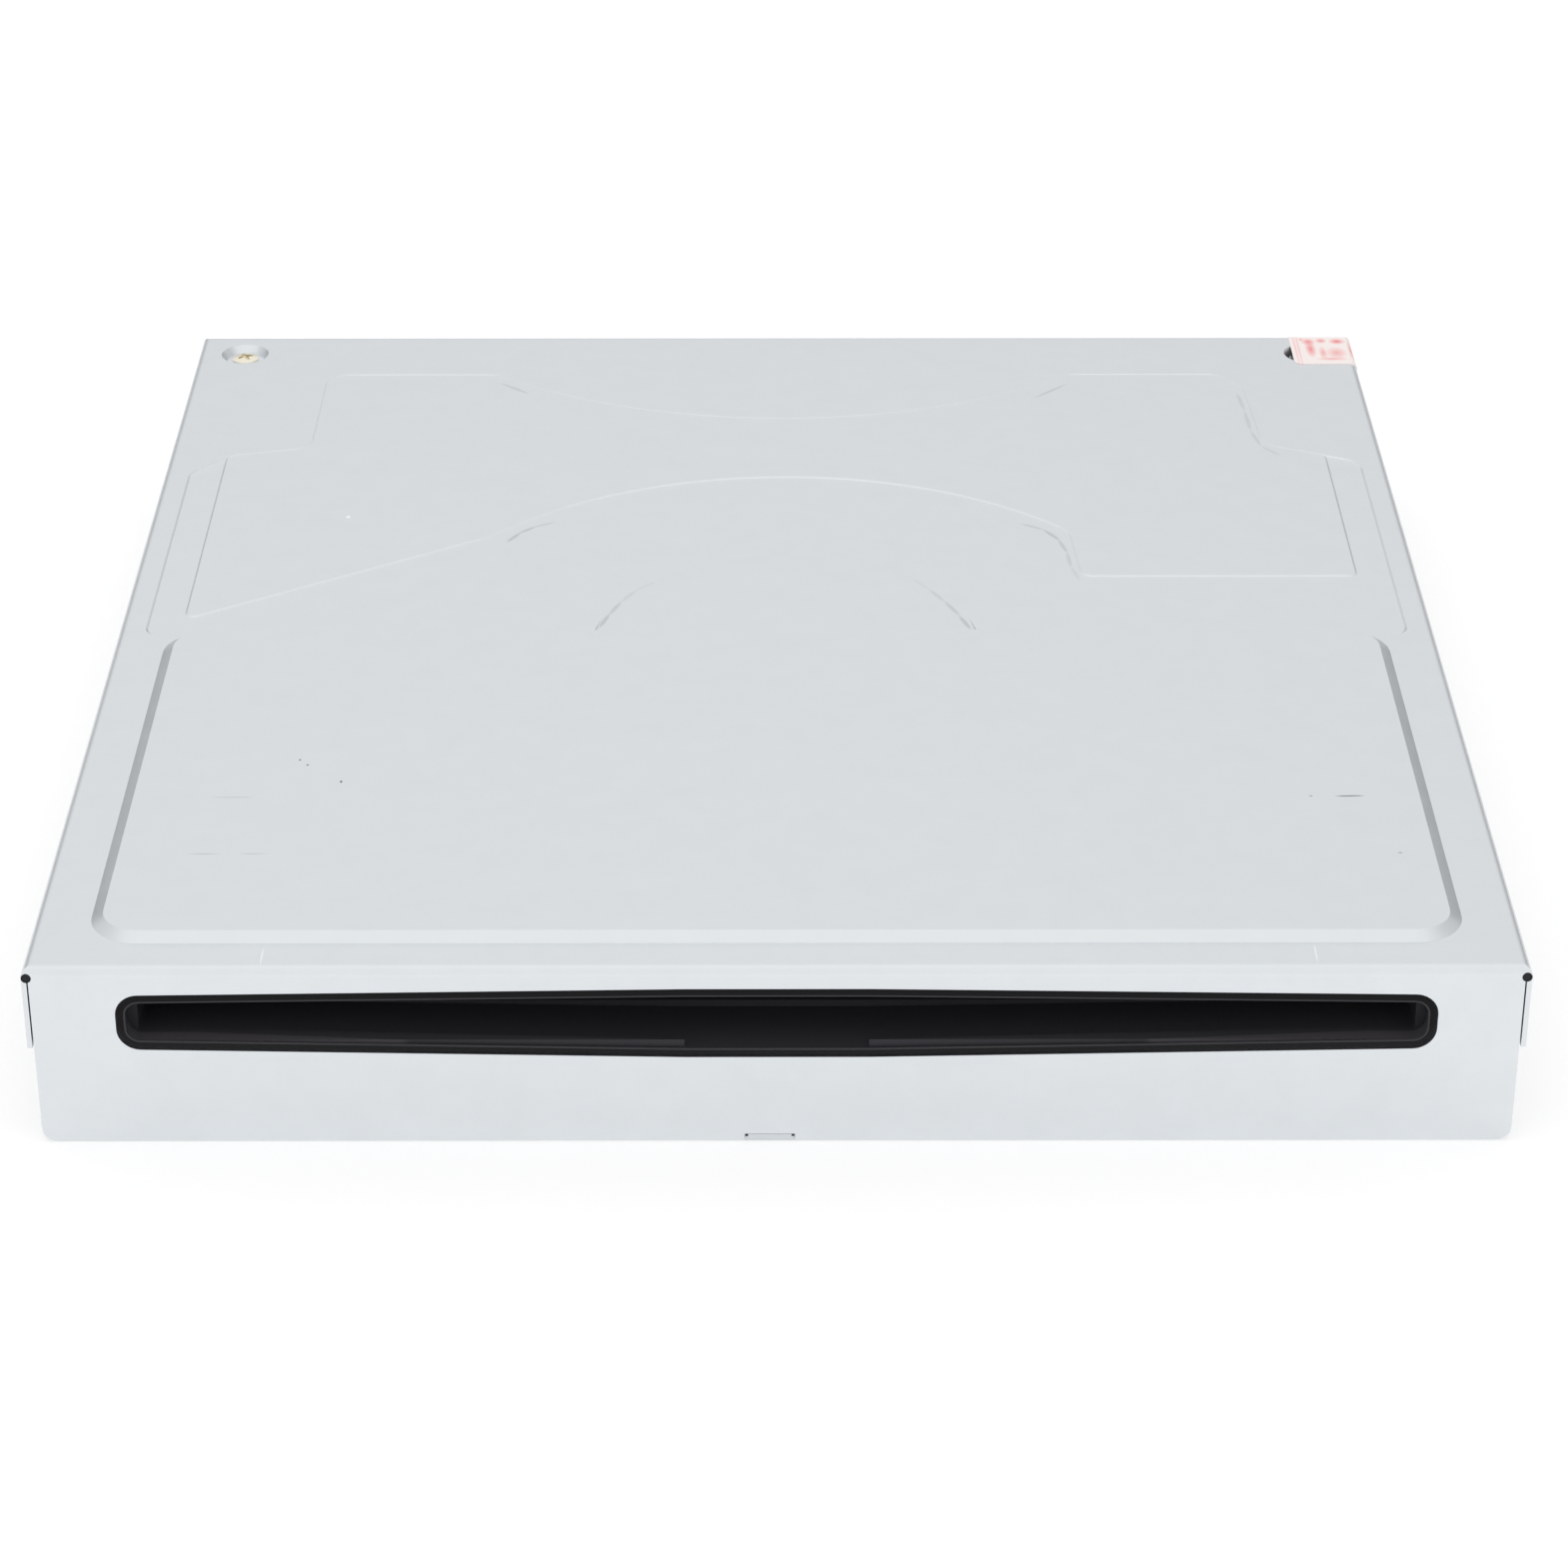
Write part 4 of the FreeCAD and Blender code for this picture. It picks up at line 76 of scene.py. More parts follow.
camera_data = bpy.data.cameras.new("camera")
camera_data.sensor_width = SENSOR
camera_data.lens = PHOTO_FOCAL / PHOTO_SIZE * SENSOR
camera_data.clip_start = NEAREST_SEEN
camera = bpy.data.objects.new("camera", camera_data)
camera.location = (CAMERA_RIGHT, cover_low[1] - CAMERA_FRONT, rim_z + CAMERA_ABOVE)
camera.rotation_euler = (math.radians(90.0 - CAMERA_DROP), 0.0, -math.radians(CAMERA_YAW))
bpy.context.collection.objects.link(camera)
bpy.context.scene.camera = camera
bpy.context.scene.view_settings.view_transform = "Standard"


# Studio light: a wide soft sky, even in front of the drive and brightest overhead. Behind it the
# sky darkens towards the horizon and to the two sides, which the pressed slopes of the cover
# show. The camera itself sees plain white.

WHITE = "#FFFFFF"
SKY_STEPS = [
    (0.0, 0.34),
    (0.15, 0.4),
    (0.28, 0.74),
    (0.38, 1.0),
    (0.52, 0.955),
    (0.8, 1.0),
    (1.0, 1.1),
]
SIDE_DIMMING = 0.4
RIGHT_DIMMING = 0.06
FRONT_LEVEL = 1.02
FRONT_FROM = -0.3
BACKDROP_LEVEL = 1.0


def srgb(code):
    """Linear colour of an sRGB hex value, with full alpha."""
    channels = []
    for place in (1, 3, 5):
        value = int(code[place:place + 2], 16) / 255
        channels.append(value / 12.92 if value <= 0.04045 else ((value + 0.055) / 1.055) ** 2.4)
    return (*channels, 1.0)


def add_node(tree, kind, settings=None, links=None):
    """A new node of a kind, with its settings and inputs set, and inputs linked to sockets."""
    node = tree.nodes.new(kind)
    for name, value in (settings or {}).items():
        if isinstance(name, int) or name in node.inputs:
            node.inputs[name].default_value = value
        else:
            setattr(node, name, value)
    for name, socket in (links or {}).items():
        tree.links.new(socket, node.inputs[name])
    return node


world = bpy.data.worlds.new("studio")
bpy.context.scene.world = world
world.use_nodes = True
sky = world.node_tree
sky.nodes.clear()
direction = add_node(sky, "ShaderNodeTexCoord")
parts = add_node(sky, "ShaderNodeSeparateXYZ", links={"Vector": direction.outputs["Generated"]})
ramp = add_node(sky, "ShaderNodeValToRGB", links={"Fac": parts.outputs["Z"]})
while len(ramp.color_ramp.elements) < len(SKY_STEPS):
    ramp.color_ramp.elements.new(0.5)
for element, (place, level) in zip(ramp.color_ramp.elements, SKY_STEPS):
    element.position = place
    element.color = (level, level, level, 1.0)
sideways = add_node(
    sky,
    "ShaderNodeMath",
    {"operation": "MULTIPLY"},
    {0: parts.outputs["X"], 1: parts.outputs["X"]},
)
dimmed = add_node(
    sky,
    "ShaderNodeMath",
    {"operation": "MULTIPLY_ADD", 1: -SIDE_DIMMING, 2: 1.0},
    {0: sideways.outputs[0]},
)
uneven = add_node(
    sky,
    "ShaderNodeMath",
    {"operation": "MULTIPLY_ADD", 1: -RIGHT_DIMMING},
    {0: parts.outputs["X"], 2: dimmed.outputs[0]},
)
behind = add_node(
    sky,
    "ShaderNodeMath",
    {"operation": "MULTIPLY"},
    {0: ramp.outputs["Color"], 1: uneven.outputs[0]},
)
in_front = add_node(
    sky,
    "ShaderNodeMapRange",
    {"From Min": 0.0, "From Max": FRONT_FROM, "To Min": 0.0, "To Max": 1.0},
    {"Value": parts.outputs["Y"]},
)
sky_level = add_node(
    sky,
    "ShaderNodeMix",
    {"data_type": "FLOAT", 3: FRONT_LEVEL},
    {0: in_front.outputs[0], 2: behind.outputs[0]},
)
sky_rays = add_node(sky, "ShaderNodeLightPath")
sky_strength = add_node(
    sky,
    "ShaderNodeMix",
    {"data_type": "FLOAT", 3: BACKDROP_LEVEL},
    {0: sky_rays.outputs["Is Camera Ray"], 2: sky_level.outputs[0]},
)
light = add_node(
    sky, "ShaderNodeBackground", {"Color": srgb(WHITE)}, {"Strength": sky_strength.outputs[0]}
)
add_node(sky, "ShaderNodeOutputWorld", links={"Surface": light.outputs["Background"]})


# Table: a sheet of white paper on which the drive lies. It takes the drive's soft shadow as grey
# paper would, and glows a little for the camera and in reflections, so it comes out white.

TABLE_SPAN = 6.0
TABLE_BELOW = 0.00002
PAPER_GREY = "#D6D6D6"
PAPER_GLOW = 0.445


def blank_material(name):
    """A new material with an empty node tree."""
    material = bpy.data.materials.new(name)
    material.use_nodes = True
    material.node_tree.nodes.clear()
    return material


def make_paper(name):
    """White paper: matt, so that only the shadow at the drive's foot marks it."""
    material = blank_material(name)
    tree = material.node_tree
    rays = add_node(tree, "ShaderNodeLightPath")
    seen = add_node(
        tree,
        "ShaderNodeMath",
        {"operation": "MAXIMUM"},
        {0: rays.outputs["Is Camera Ray"], 1: rays.outputs["Is Glossy Ray"]},
    )
    seen_through = add_node(
        tree,
        "ShaderNodeMath",
        {"operation": "MAXIMUM"},
        {0: seen.outputs[0], 1: rays.outputs["Is Transmission Ray"]},
    )
    glow_level = add_node(
        tree,
        "ShaderNodeMath",
        {"operation": "MULTIPLY", 1: PAPER_GLOW},
        {0: seen_through.outputs[0]},
    )
    matt = add_node(tree, "ShaderNodeBsdfDiffuse", {"Color": srgb(PAPER_GREY)})
    glow = add_node(
        tree, "ShaderNodeEmission", {"Color": srgb(WHITE)}, {"Strength": glow_level.outputs[0]}
    )
    both = add_node(tree, "ShaderNodeAddShader", links={0: matt.outputs[0], 1: glow.outputs[0]})
    add_node(tree, "ShaderNodeOutputMaterial", links={"Surface": both.outputs[0]})
    return material


table_reach = TABLE_SPAN / 2
table_mesh = bpy.data.meshes.new("table")
table_mesh.from_pydata(
    [
        (-table_reach, -table_reach, 0.0),
        (table_reach, -table_reach, 0.0),
        (table_reach, table_reach, 0.0),
        (-table_reach, table_reach, 0.0),
    ],
    [],
    [(0, 1, 2, 3)],
)
table = bpy.data.objects.new("table", table_mesh)
table.location = (0.0, 0.0, cad_bounds[0][2] - TABLE_BELOW)
bpy.context.collection.objects.link(table)
table_mesh.materials.append(make_paper("white_paper"))


# Cover and tray: cold-rolled steel sheet with a zinc coat, pressed and folded. The cover drops
# over the tray and is held by two screws at the rear.

COVER_PALE = "#E3E7EA"
COVER_DARK = "#DCE0E3"
COVER_ROUGHNESS = 0.34
TRAY_PALE = "#DADEE1"
TRAY_DARK = "#D2D6D9"
TRAY_ROUGHNESS = 0.36
ROUGHNESS_SPREAD = 0.04
MOTTLE = 0.004
GRAIN = 0.00035
GRAIN_DEPTH = 0.00002
GRAIN_STRENGTH = 0.06
FRONT_Y = cover_low[1]
MARK_HEIGHT = 1000.0
DECK_MARK_SOLID = 0.6

# Small marks of use: colour, strength, place (X and distance from the front, mm), half size, turn.
DECK_MARKS = [
    ("#FFFFFF", 0.9, (-50.0, 101.0), (0.32, 0.4), 0.0),
    ("#4A4A48", 0.8, (-49.8, 40.5), (0.14, 0.2), 0.0),
    ("#4A4A48", 0.8, (-48.9, 39.4), (0.14, 0.2), 0.0),
    ("#3A3A38", 0.9, (-45.1, 35.8), (0.16, 0.24), 0.0),
    ("#56565A", 0.8, (59.0, 32.6), (1.7, 0.14), 2.0),
    ("#6A6A6C", 0.6, (55.0, 32.6), (0.2, 0.14), 0.0),
    ("#77777A", 0.6, (62.7, 20.9), (0.25, 0.14), 0.0),
    ("#9A9EA2", 0.45, (-57.6, 20.9), (1.8, 0.1), 0.0),
    ("#A4A8AC", 0.4, (-52.6, 20.9), (1.6, 0.1), 0.0),
    ("#A4A8AC", 0.4, (-56.0, 32.5), (2.6, 0.1), 0.0),
    ("#FFFFFF", 0.6, (-49.9, 2.4), (0.1, 1.8), 0.0),
    ("#FFFFFF", 0.6, (52.3, 2.8), (0.1, 2.0), 0.0),
]

# Painted shade along the ends of the pressed arcs and necks, laid on as soft grey streaks:
# strength, place, half length, turn.
ARC_SHADE = "#A8ACB0"
ARC_SHADE_HALF_WIDTH = 0.3
PAINTED_ARC_SHADES = [
    (0.45, (-19.1, 72.5), 2.0, 73.0),
    (0.35, (-18.0, 75.6), 2.0, 69.0),
    (0.2, (-16.6, 78.6), 1.9, 62.0),
    (0.1, (-14.8, 81.1), 1.8, 47.0),
    (0.1, (16.3, 81.6), 1.9, -58.0),
    (0.25, (18.0, 78.7), 2.0, -62.0),
    (0.35, (19.6, 75.5), 2.2, -66.0),
    (0.45, (20.9, 72.0), 2.1, -71.0),
    (0.45, (-30.4, 95.7), 1.7, 60.0),
    (0.4, (-28.9, 97.7), 1.5, 44.0),
    (0.25, (-27.0, 99.1), 1.6, 31.0),
    (0.3, (29.8, 98.4), 1.8, -32.0),
    (0.45, (31.9, 96.2), 1.9, -59.0),
    (0.35, (33.0, 93.3), 1.9, -77.0),
    (0.25, (33.5, 89.8), 2.3, -87.0),
    (0.15, (34.0, 86.2), 2.0, -78.0),
    (0.3, (-32.5, 137.9), 2.9, -41.0),
    (0.3, (34.0, 137.0), 3.3, 45.0),
    (0.25, (57.3, 133.6), 3.0, -85.0),
    (0.25, (57.6, 128.0), 3.3, -88.0),
    (0.25, (58.1, 122.8), 2.5, -80.0),
    (0.2, (59.5, 119.3), 1.9, -54.0),
]


def dress(material, *nodes):
    """Give carried-over nodes their material."""
    for node in nodes:
        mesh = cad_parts[node].data
        mesh.materials.clear()
        mesh.materials.append(material)


def paint_mark(tree, place, mark, solid):
    """Mix node that lays an ellipse over its first colour, full up to its solid part."""
    code, strength, middle, half_size, turn = mark
    where = add_node(
        tree,
        "ShaderNodeMapping",
        {
            "vector_type": "TEXTURE",
            "Location": (middle[0] / 1000, FRONT_Y + middle[1] / 1000, 0.0),
            "Rotation": (0.0, 0.0, math.radians(turn)),
            "Scale": (half_size[0] / 1000, half_size[1] / 1000, MARK_HEIGHT),
        },
        {"Vector": place.outputs["Object"]},
    )
    reach = add_node(
        tree, "ShaderNodeVectorMath", {"operation": "LENGTH"}, {0: where.outputs["Vector"]}
    )
    mask = add_node(
        tree,
        "ShaderNodeMapRange",
        {"From Min": 1.0, "From Max": solid, "To Min": 0.0, "To Max": 1.0},
        {"Value": reach.outputs["Value"]},
    )
    weight = add_node(
        tree, "ShaderNodeMath", {"operation": "MULTIPLY", 1: strength}, {0: mask.outputs[0]}
    )
    return add_node(
        tree, "ShaderNodeMix", {"data_type": "RGBA", 7: srgb(code)}, {0: weight.outputs[0]}
    )


def make_zinc(name, pale, dark, roughness, marks=()):
    """Zinc coat: a dull pale metal with a faint mottle and a fine rolled grain, and its marks,
    which on the cover include painted shade.
    """
    material = blank_material(name)
    tree = material.node_tree
    place = add_node(tree, "ShaderNodeTexCoord")
    cloud = add_node(
        tree,
        "ShaderNodeTexNoise",
        {"Scale": 1.0 / MOTTLE, "Detail": 4.0, "Roughness": 0.6},
        {"Vector": place.outputs["Object"]},
    )
    tint = add_node(
        tree,
        "ShaderNodeMix",
        {"data_type": "RGBA", 6: srgb(dark), 7: srgb(pale)},
        {0: cloud.outputs[0]},
    )
    colour = tint.outputs[2]
    for mark in marks:
        spot = paint_mark(tree, place, mark, DECK_MARK_SOLID)
        tree.links.new(colour, spot.inputs[6])
        colour = spot.outputs[2]
    grain = add_node(
        tree,
        "ShaderNodeTexNoise",
        {"Scale": 1.0 / GRAIN, "Detail": 2.0},
        {"Vector": place.outputs["Object"]},
    )
    rough = add_node(
        tree,
        "ShaderNodeMapRange",
        {"To Min": roughness - ROUGHNESS_SPREAD, "To Max": roughness + ROUGHNESS_SPREAD},
        {"Value": cloud.outputs[0]},
    )
    bump = add_node(
        tree,
        "ShaderNodeBump",
        {"Strength": GRAIN_STRENGTH, "Distance": GRAIN_DEPTH},
        {"Height": grain.outputs[0]},
    )
    metal = add_node(
        tree,
        "ShaderNodeBsdfPrincipled",
        {"Metallic": 1.0},
        {"Base Color": colour, "Roughness": rough.outputs[0], "Normal": bump.outputs[0]},
    )
    add_node(tree, "ShaderNodeOutputMaterial", links={"Surface": metal.outputs[0]})
    return material


# The cover's marks of use, together with the painted shade at the ends of the pressed arcs and
# necks.
cover_marks_and_shades = DECK_MARKS + [
    (ARC_SHADE, strength, middle, (half_length, ARC_SHADE_HALF_WIDTH), turn)
    for strength, middle, half_length, turn in PAINTED_ARC_SHADES
]
dress(
    make_zinc("cover_zinc", COVER_PALE, COVER_DARK, COVER_ROUGHNESS, cover_marks_and_shades), "top_cover"
)
tray_zinc = make_zinc("tray_zinc", TRAY_PALE, TRAY_DARK, TRAY_ROUGHNESS)
dress(tray_zinc, "bottom_chassis")


# Tab lip: the folded end of the tray's tab, of the same zinc-coated sheet. It closes the notch
# in the front face but for its two ends. Sizes are in mm: X, distance from the front, height.

TAB_X = -0.7
TAB_LIP_ACROSS = (-2.15, 2.15)
TAB_LIP_SPAN = (0.03, 0.5)
TAB_LIP_HEIGHTS = (0.45, 0.8)


def add_prism(name, outline, span, material):
    """Prism along Y: outline is (x, z) in metres, span the distance from the front in mm."""
    near, far = (FRONT_Y + value / 1000 for value in span)
    count = len(outline)
    points = [(x, near, z) for x, z in outline] + [(x, far, z) for x, z in outline]
    faces = [tuple(range(count)), tuple(reversed(range(count, 2 * count)))]
    for step in range(count):
        after = (step + 1) % count
        faces.append((step, step + count, after + count, after))
    mesh = bpy.data.meshes.new(name)
    mesh.from_pydata(points, [], faces)
    mesh.materials.append(material)
    piece = bpy.data.objects.new(name, mesh)
    bpy.context.collection.objects.link(piece)
    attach(piece, "housing")


tab_left, tab_right = ((TAB_X + value) / 1000 for value in TAB_LIP_ACROSS)
tab_foot, tab_top = (value / 1000 for value in TAB_LIP_HEIGHTS)
tab_outline = [
    (tab_left, tab_foot),
    (tab_right, tab_foot),
    (tab_right, tab_top),
    (tab_left, tab_top),
]
add_prism("tab_lip", tab_outline, TAB_LIP_SPAN, tray_zinc)


# Slot bezel: one black ABS moulding with a fine spark texture, snapped in from behind. Discs
# have polished the rounded edge of the opening. Its colour carries painted light: the front face
# band is painted darker than the inside, as painted shade for the dark throat it reflects, and is
# a little less dark on its lower half, painted light on the upward-tilted lower face. The ledge
# inside the lower lip is painted paler, a painted highlight on its upward-facing floor, and this
# painted highlight widens towards both ends of the slot.

FACE_UPPER_SHADE = "#111113"
FACE_LOWER_SHADE = "#1A1A1C"
THROAT = "#3A3A3E"
LEDGE_HIGHLIGHT = "#4C4A4D"
LEDGE_HIGHLIGHT_NARROW = (35.0, 0.4)
LEDGE_HIGHLIGHT_WIDE = (57.0, 1.9)
LEDGE_HIGHLIGHT_BLUR = 0.00006
LOWER_HALF = (0.0133, 0.0127)
SHADED_FACE_BAND = (0.00022, 0.00016)
ABS_ROUGHNESS = 0.42
ABS_SPECULAR = 0.12
SPARK_GRAIN = 0.0004
SPARK_DEPTH = 0.00003
SPARK_STRENGTH = 0.5


def make_painted_bezel(name):
    """Black ABS with painted shade on its front face, darkest on the upper half, and a painted
    highlight on the ledge behind the lower lip.
    """
    material = blank_material(name)
    tree = material.node_tree
    place = add_node(tree, "ShaderNodeTexCoord")
    axes = add_node(tree, "ShaderNodeSeparateXYZ", links={"Vector": place.outputs["Object"]})
    side = add_node(tree, "ShaderNodeMath", {"operation": "ABSOLUTE"}, {0: axes.outputs["X"]})
    rear = add_node(
        tree,
        "ShaderNodeMapRange",
        {
            "From Min": LEDGE_HIGHLIGHT_NARROW[0] / 1000,
            "From Max": LEDGE_HIGHLIGHT_WIDE[0] / 1000,
            "To Min": FRONT_Y + LEDGE_HIGHLIGHT_NARROW[1] / 1000,
            "To Max": FRONT_Y + LEDGE_HIGHLIGHT_WIDE[1] / 1000,
        },
        {"Value": side.outputs[0]},
    )
    ahead = add_node(
        tree,
        "ShaderNodeMath",
        {"operation": "SUBTRACT"},
        {0: rear.outputs[0], 1: axes.outputs["Y"]},
    )
    on_lit_ledge = add_node(
        tree,
        "ShaderNodeMapRange",
        {"From Min": 0.0, "From Max": LEDGE_HIGHLIGHT_BLUR, "To Min": 0.0, "To Max": 1.0},
        {"Value": ahead.outputs[0]},
    )
    low = add_node(
        tree,
        "ShaderNodeMapRange",
        {"From Min": LOWER_HALF[0], "From Max": LOWER_HALF[1], "To Min": 0.0, "To Max": 1.0},
        {"Value": axes.outputs["Z"]},
    )
    on_shaded_face = add_node(
        tree,
        "ShaderNodeMapRange",
        {
            "From Min": FRONT_Y + SHADED_FACE_BAND[0],
            "From Max": FRONT_Y + SHADED_FACE_BAND[1],
            "To Min": 0.0,
            "To Max": 1.0,
        },
        {"Value": axes.outputs["Y"]},
    )
    ledge_highlight_mask = add_node(
        tree,
        "ShaderNodeMath",
        {"operation": "MULTIPLY"},
        {0: on_lit_ledge.outputs[0], 1: low.outputs[0]},
    )
    inside = add_node(
        tree,
        "ShaderNodeMix",
        {"data_type": "RGBA", 6: srgb(THROAT), 7: srgb(LEDGE_HIGHLIGHT)},
        {0: ledge_highlight_mask.outputs[0]},
    )
    face_shade = add_node(
        tree,
        "ShaderNodeMix",
        {"data_type": "RGBA", 6: srgb(FACE_UPPER_SHADE), 7: srgb(FACE_LOWER_SHADE)},
        {0: low.outputs[0]},
    )
    colour = add_node(
        tree,
        "ShaderNodeMix",
        {"data_type": "RGBA"},
        {0: on_shaded_face.outputs[0], 6: inside.outputs[2], 7: face_shade.outputs[2]},
    )
    pattern = add_node(
        tree,
        "ShaderNodeTexNoise",
        {"Scale": 1.0 / SPARK_GRAIN, "Detail": 3.0},
        {"Vector": place.outputs["Object"]},
    )
    bump = add_node(
        tree,
        "ShaderNodeBump",
        {"Strength": SPARK_STRENGTH, "Distance": SPARK_DEPTH},
        {"Height": pattern.outputs[0]},
    )
    surface = add_node(
        tree,
        "ShaderNodeBsdfPrincipled",
        {"Roughness": ABS_ROUGHNESS, "Specular IOR Level": ABS_SPECULAR},
        {"Base Color": colour.outputs[2], "Normal": bump.outputs[0]},
    )
    add_node(tree, "ShaderNodeOutputMaterial", links={"Surface": surface.outputs[0]})
    return material


# The bezel's front face band carries painted shade, and the ledge behind its lower lip carries a
# painted highlight.
dress(make_painted_bezel("bezel_black_painted_light"), "slot_bezel")


# Polished edge of the slot: the rounded corner of the same moulding, all round the opening,
# rubbed smooth so that it catches a thin line of light. Sizes are in mm.

OPENING_HALF_WIDTH = 63.35
OPENING_LEVEL_HALF = 9.0
OPENING_TOP = (16.05, 16.75)
OPENING_FOOT = (11.6, 10.65)
OPENING_CORNER = 1.45
OPENING_CORNER_STEPS = 6
EDGE_RADIUS = 0.13
EDGE_SMOOTHNESS = 3
EDGE_BACK = 0.19


def make_plain(name, code, roughness, metallic=0.0, grain=0.0, specular=0.5):
    """One colour, with a fine surface grain where grain gives its size in metres."""
    material = blank_material(name)
    tree = material.node_tree
    surface = add_node(
        tree,
        "ShaderNodeBsdfPrincipled",
        {
            "Base Color": srgb(code),
            "Roughness": roughness,
            "Metallic": metallic,
            "Specular IOR Level": specular,
        },
    )
    if grain:
        place = add_node(tree, "ShaderNodeTexCoord")
        pattern = add_node(
            tree,
            "ShaderNodeTexNoise",
            {"Scale": 1.0 / grain, "Detail": 3.0},
            {"Vector": place.outputs["Object"]},
        )
        bump = add_node(
            tree,
            "ShaderNodeBump",
            {"Strength": SPARK_STRENGTH, "Distance": SPARK_DEPTH},
            {"Height": pattern.outputs[0]},
        )
        tree.links.new(bump.outputs[0], surface.inputs["Normal"])
    add_node(tree, "ShaderNodeOutputMaterial", links={"Surface": surface.outputs[0]})
    return material


def opening_loop():
    """Points round the bezel's opening, seen from the front, in mm."""
    corner_x = OPENING_HALF_WIDTH - OPENING_CORNER
    corners = (
        (OPENING_FOOT[0] + OPENING_CORNER, -90.0),
        (OPENING_TOP[0] - OPENING_CORNER, 0.0),
    )
    right_end = []
    for corner_z, start in corners:
        for step in range(OPENING_CORNER_STEPS + 1):
            turn = math.radians(start + 90.0 * step / OPENING_CORNER_STEPS)
            right_end.append(
                (
                    corner_x + OPENING_CORNER * math.cos(turn),
                    corner_z + OPENING_CORNER * math.sin(turn),
                )
            )
    foot = (OPENING_LEVEL_HALF, OPENING_FOOT[1])
    top = (OPENING_LEVEL_HALF, OPENING_TOP[1])
    right = [foot, *right_end, top]
    return right + [(-x, z) for x, z in reversed(right)]


edge_curve = bpy.data.curves.new("opening_edge", "CURVE")
edge_curve.dimensions = "3D"
edge_curve.bevel_depth = EDGE_RADIUS / 1000
edge_curve.bevel_resolution = EDGE_SMOOTHNESS
loop = opening_loop()
spline = edge_curve.splines.new("POLY")
spline.points.add(len(loop) - 1)
for point, (x, z) in zip(spline.points, loop):
    point.co = (x / 1000, FRONT_Y + EDGE_BACK / 1000, z / 1000, 1.0)
spline.use_cyclic_u = True
opening_edge = bpy.data.objects.new("opening_edge", edge_curve)
bpy.context.collection.objects.link(opening_edge)
edge_curve.materials.append(make_plain("polished_edge", "#323135", 0.36, specular=0.3))
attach(opening_edge, "housing")


# Dust felts: two strips of black wool felt, glued behind the slot so that a disc is wiped as it
# goes in. Felt takes almost all light and has no shine.

felt_black = make_plain("felt_black", "#38383B", 0.95, grain=0.0003, specular=0.1)
dress(felt_black, "upper_felt", "lower_felt")


# Corner reliefs: the round holes where the cover's folds meet, left open so that the sheet
# doesn't tear. A disc of felt-black behind each hole is painted shade standing for the dark
# inside. Sizes are in mm.

RELIEF_RADIUS = 0.46
RELIEF_FROM_SIDE = 0.5
RELIEF_BELOW_RIM = 1.05
RELIEF_SPAN = (0.15, 0.9)
RELIEF_STEPS = 24

# Each disc is painted shade, a dark piece placed where the hole shows only shadow.
for name, side in (("relief_shade_left", -1), ("relief_shade_right", 1)):
    relief_x = side * (cover_high[0] - RELIEF_FROM_SIDE / 1000)
    relief_z = rim_z - RELIEF_BELOW_RIM / 1000
    circle = []
    for step in range(RELIEF_STEPS):
        turn = 2 * math.pi * step / RELIEF_STEPS
        circle.append(
            (
                relief_x + RELIEF_RADIUS / 1000 * math.cos(turn),
                relief_z + RELIEF_RADIUS / 1000 * math.sin(turn),
            )
        )
    add_prism(name, circle, RELIEF_SPAN, felt_black)


# Guide plate, loader base, lift frame, hinge blocks and lens holder: moulded in dark nylon, which
# is dull and has a fine spark texture. Screws and snap fits hold them.

dress(
    make_plain("dark_nylon", "#26272A", 0.5, grain=0.0005),
    "upper_guide",
    "loader_base",
    "lift_frame",
    "hinge_block_left",
    "hinge_block_right",
    "lens_holder",
)


# Gears, pulleys, cam slider and roller arm: moulded in white acetal, which slides without grease
# and has a soft waxy sheen.

white_acetal = make_plain("white_acetal", "#E2E1DB", 0.42, grain=0.0006)
dress(
    white_acetal,
    "cam_gear",
    "cam_motor_gear",
    "cam_slider",
    "motor_pulley",
    "pulley_gear",
    "roller_arm",
    "roller_gear",
)


# Clamp puck, turntable and disc levers: white acetal too, since they turn or slide against the
# disc or each other. The levers pivot on studs under the guide plate.

dress(white_acetal, "clamp_puck", "disc_lever_left", "disc_lever_right", "turntable")


# Connectors: the housings of the power and ribbon sockets, moulded in white plastic like the
# gears, and soldered to the board.

dress(white_acetal, "power_connector", "ribbon_connector")


# Roller sleeves, belt, lever sleeves, hinge bushes and turntable pad: soft black rubber, pressed
# on or stretched in place. It is matt, with a fine ground surface.

dress(
    make_plain("soft_rubber", "#1F1F20", 0.78, grain=0.0004, specular=0.3),
    "drive_belt",
    "hinge_bush_left",
    "hinge_bush_right",
    "lever_sleeve_left",
    "lever_sleeve_right",
    "roller_sleeve_left",
    "roller_sleeve_right",
    "turntable_pad",
)


# Screws inside the drive: turned and rolled steel with a bright finish, driven into moulded
# columns or threaded pads.

ground_steel = make_plain("ground_steel", "#C9CBCC", 0.22, metallic=1.0)
dress(ground_steel, "base_screws", "board_screws", "guide_screws", "lever_screws")


# Rods, shafts, lead screw, spindle plate and rotor, and cam bridge: ground or stamped steel of
# the same finish, pressed into the mouldings and the motors.

dress(
    ground_steel,
    "cam_bridge",
    "guide_rod_left",
    "guide_rod_right",
    "lead_screw",
    "motor_shaft",
    "roller_shaft",
    "spindle_plate",
    "spindle_rotor",
    "spindle_shaft",
)


# Motors: small brushed motors in drawn steel cans with a nickel coat, a little duller than the
# ground steel, clipped into the loader base and the lift frame.

dress(
    make_plain("motor_can", "#B9BCBE", 0.3, metallic=1.0), "cam_motor", "feed_motor", "sled_motor"
)


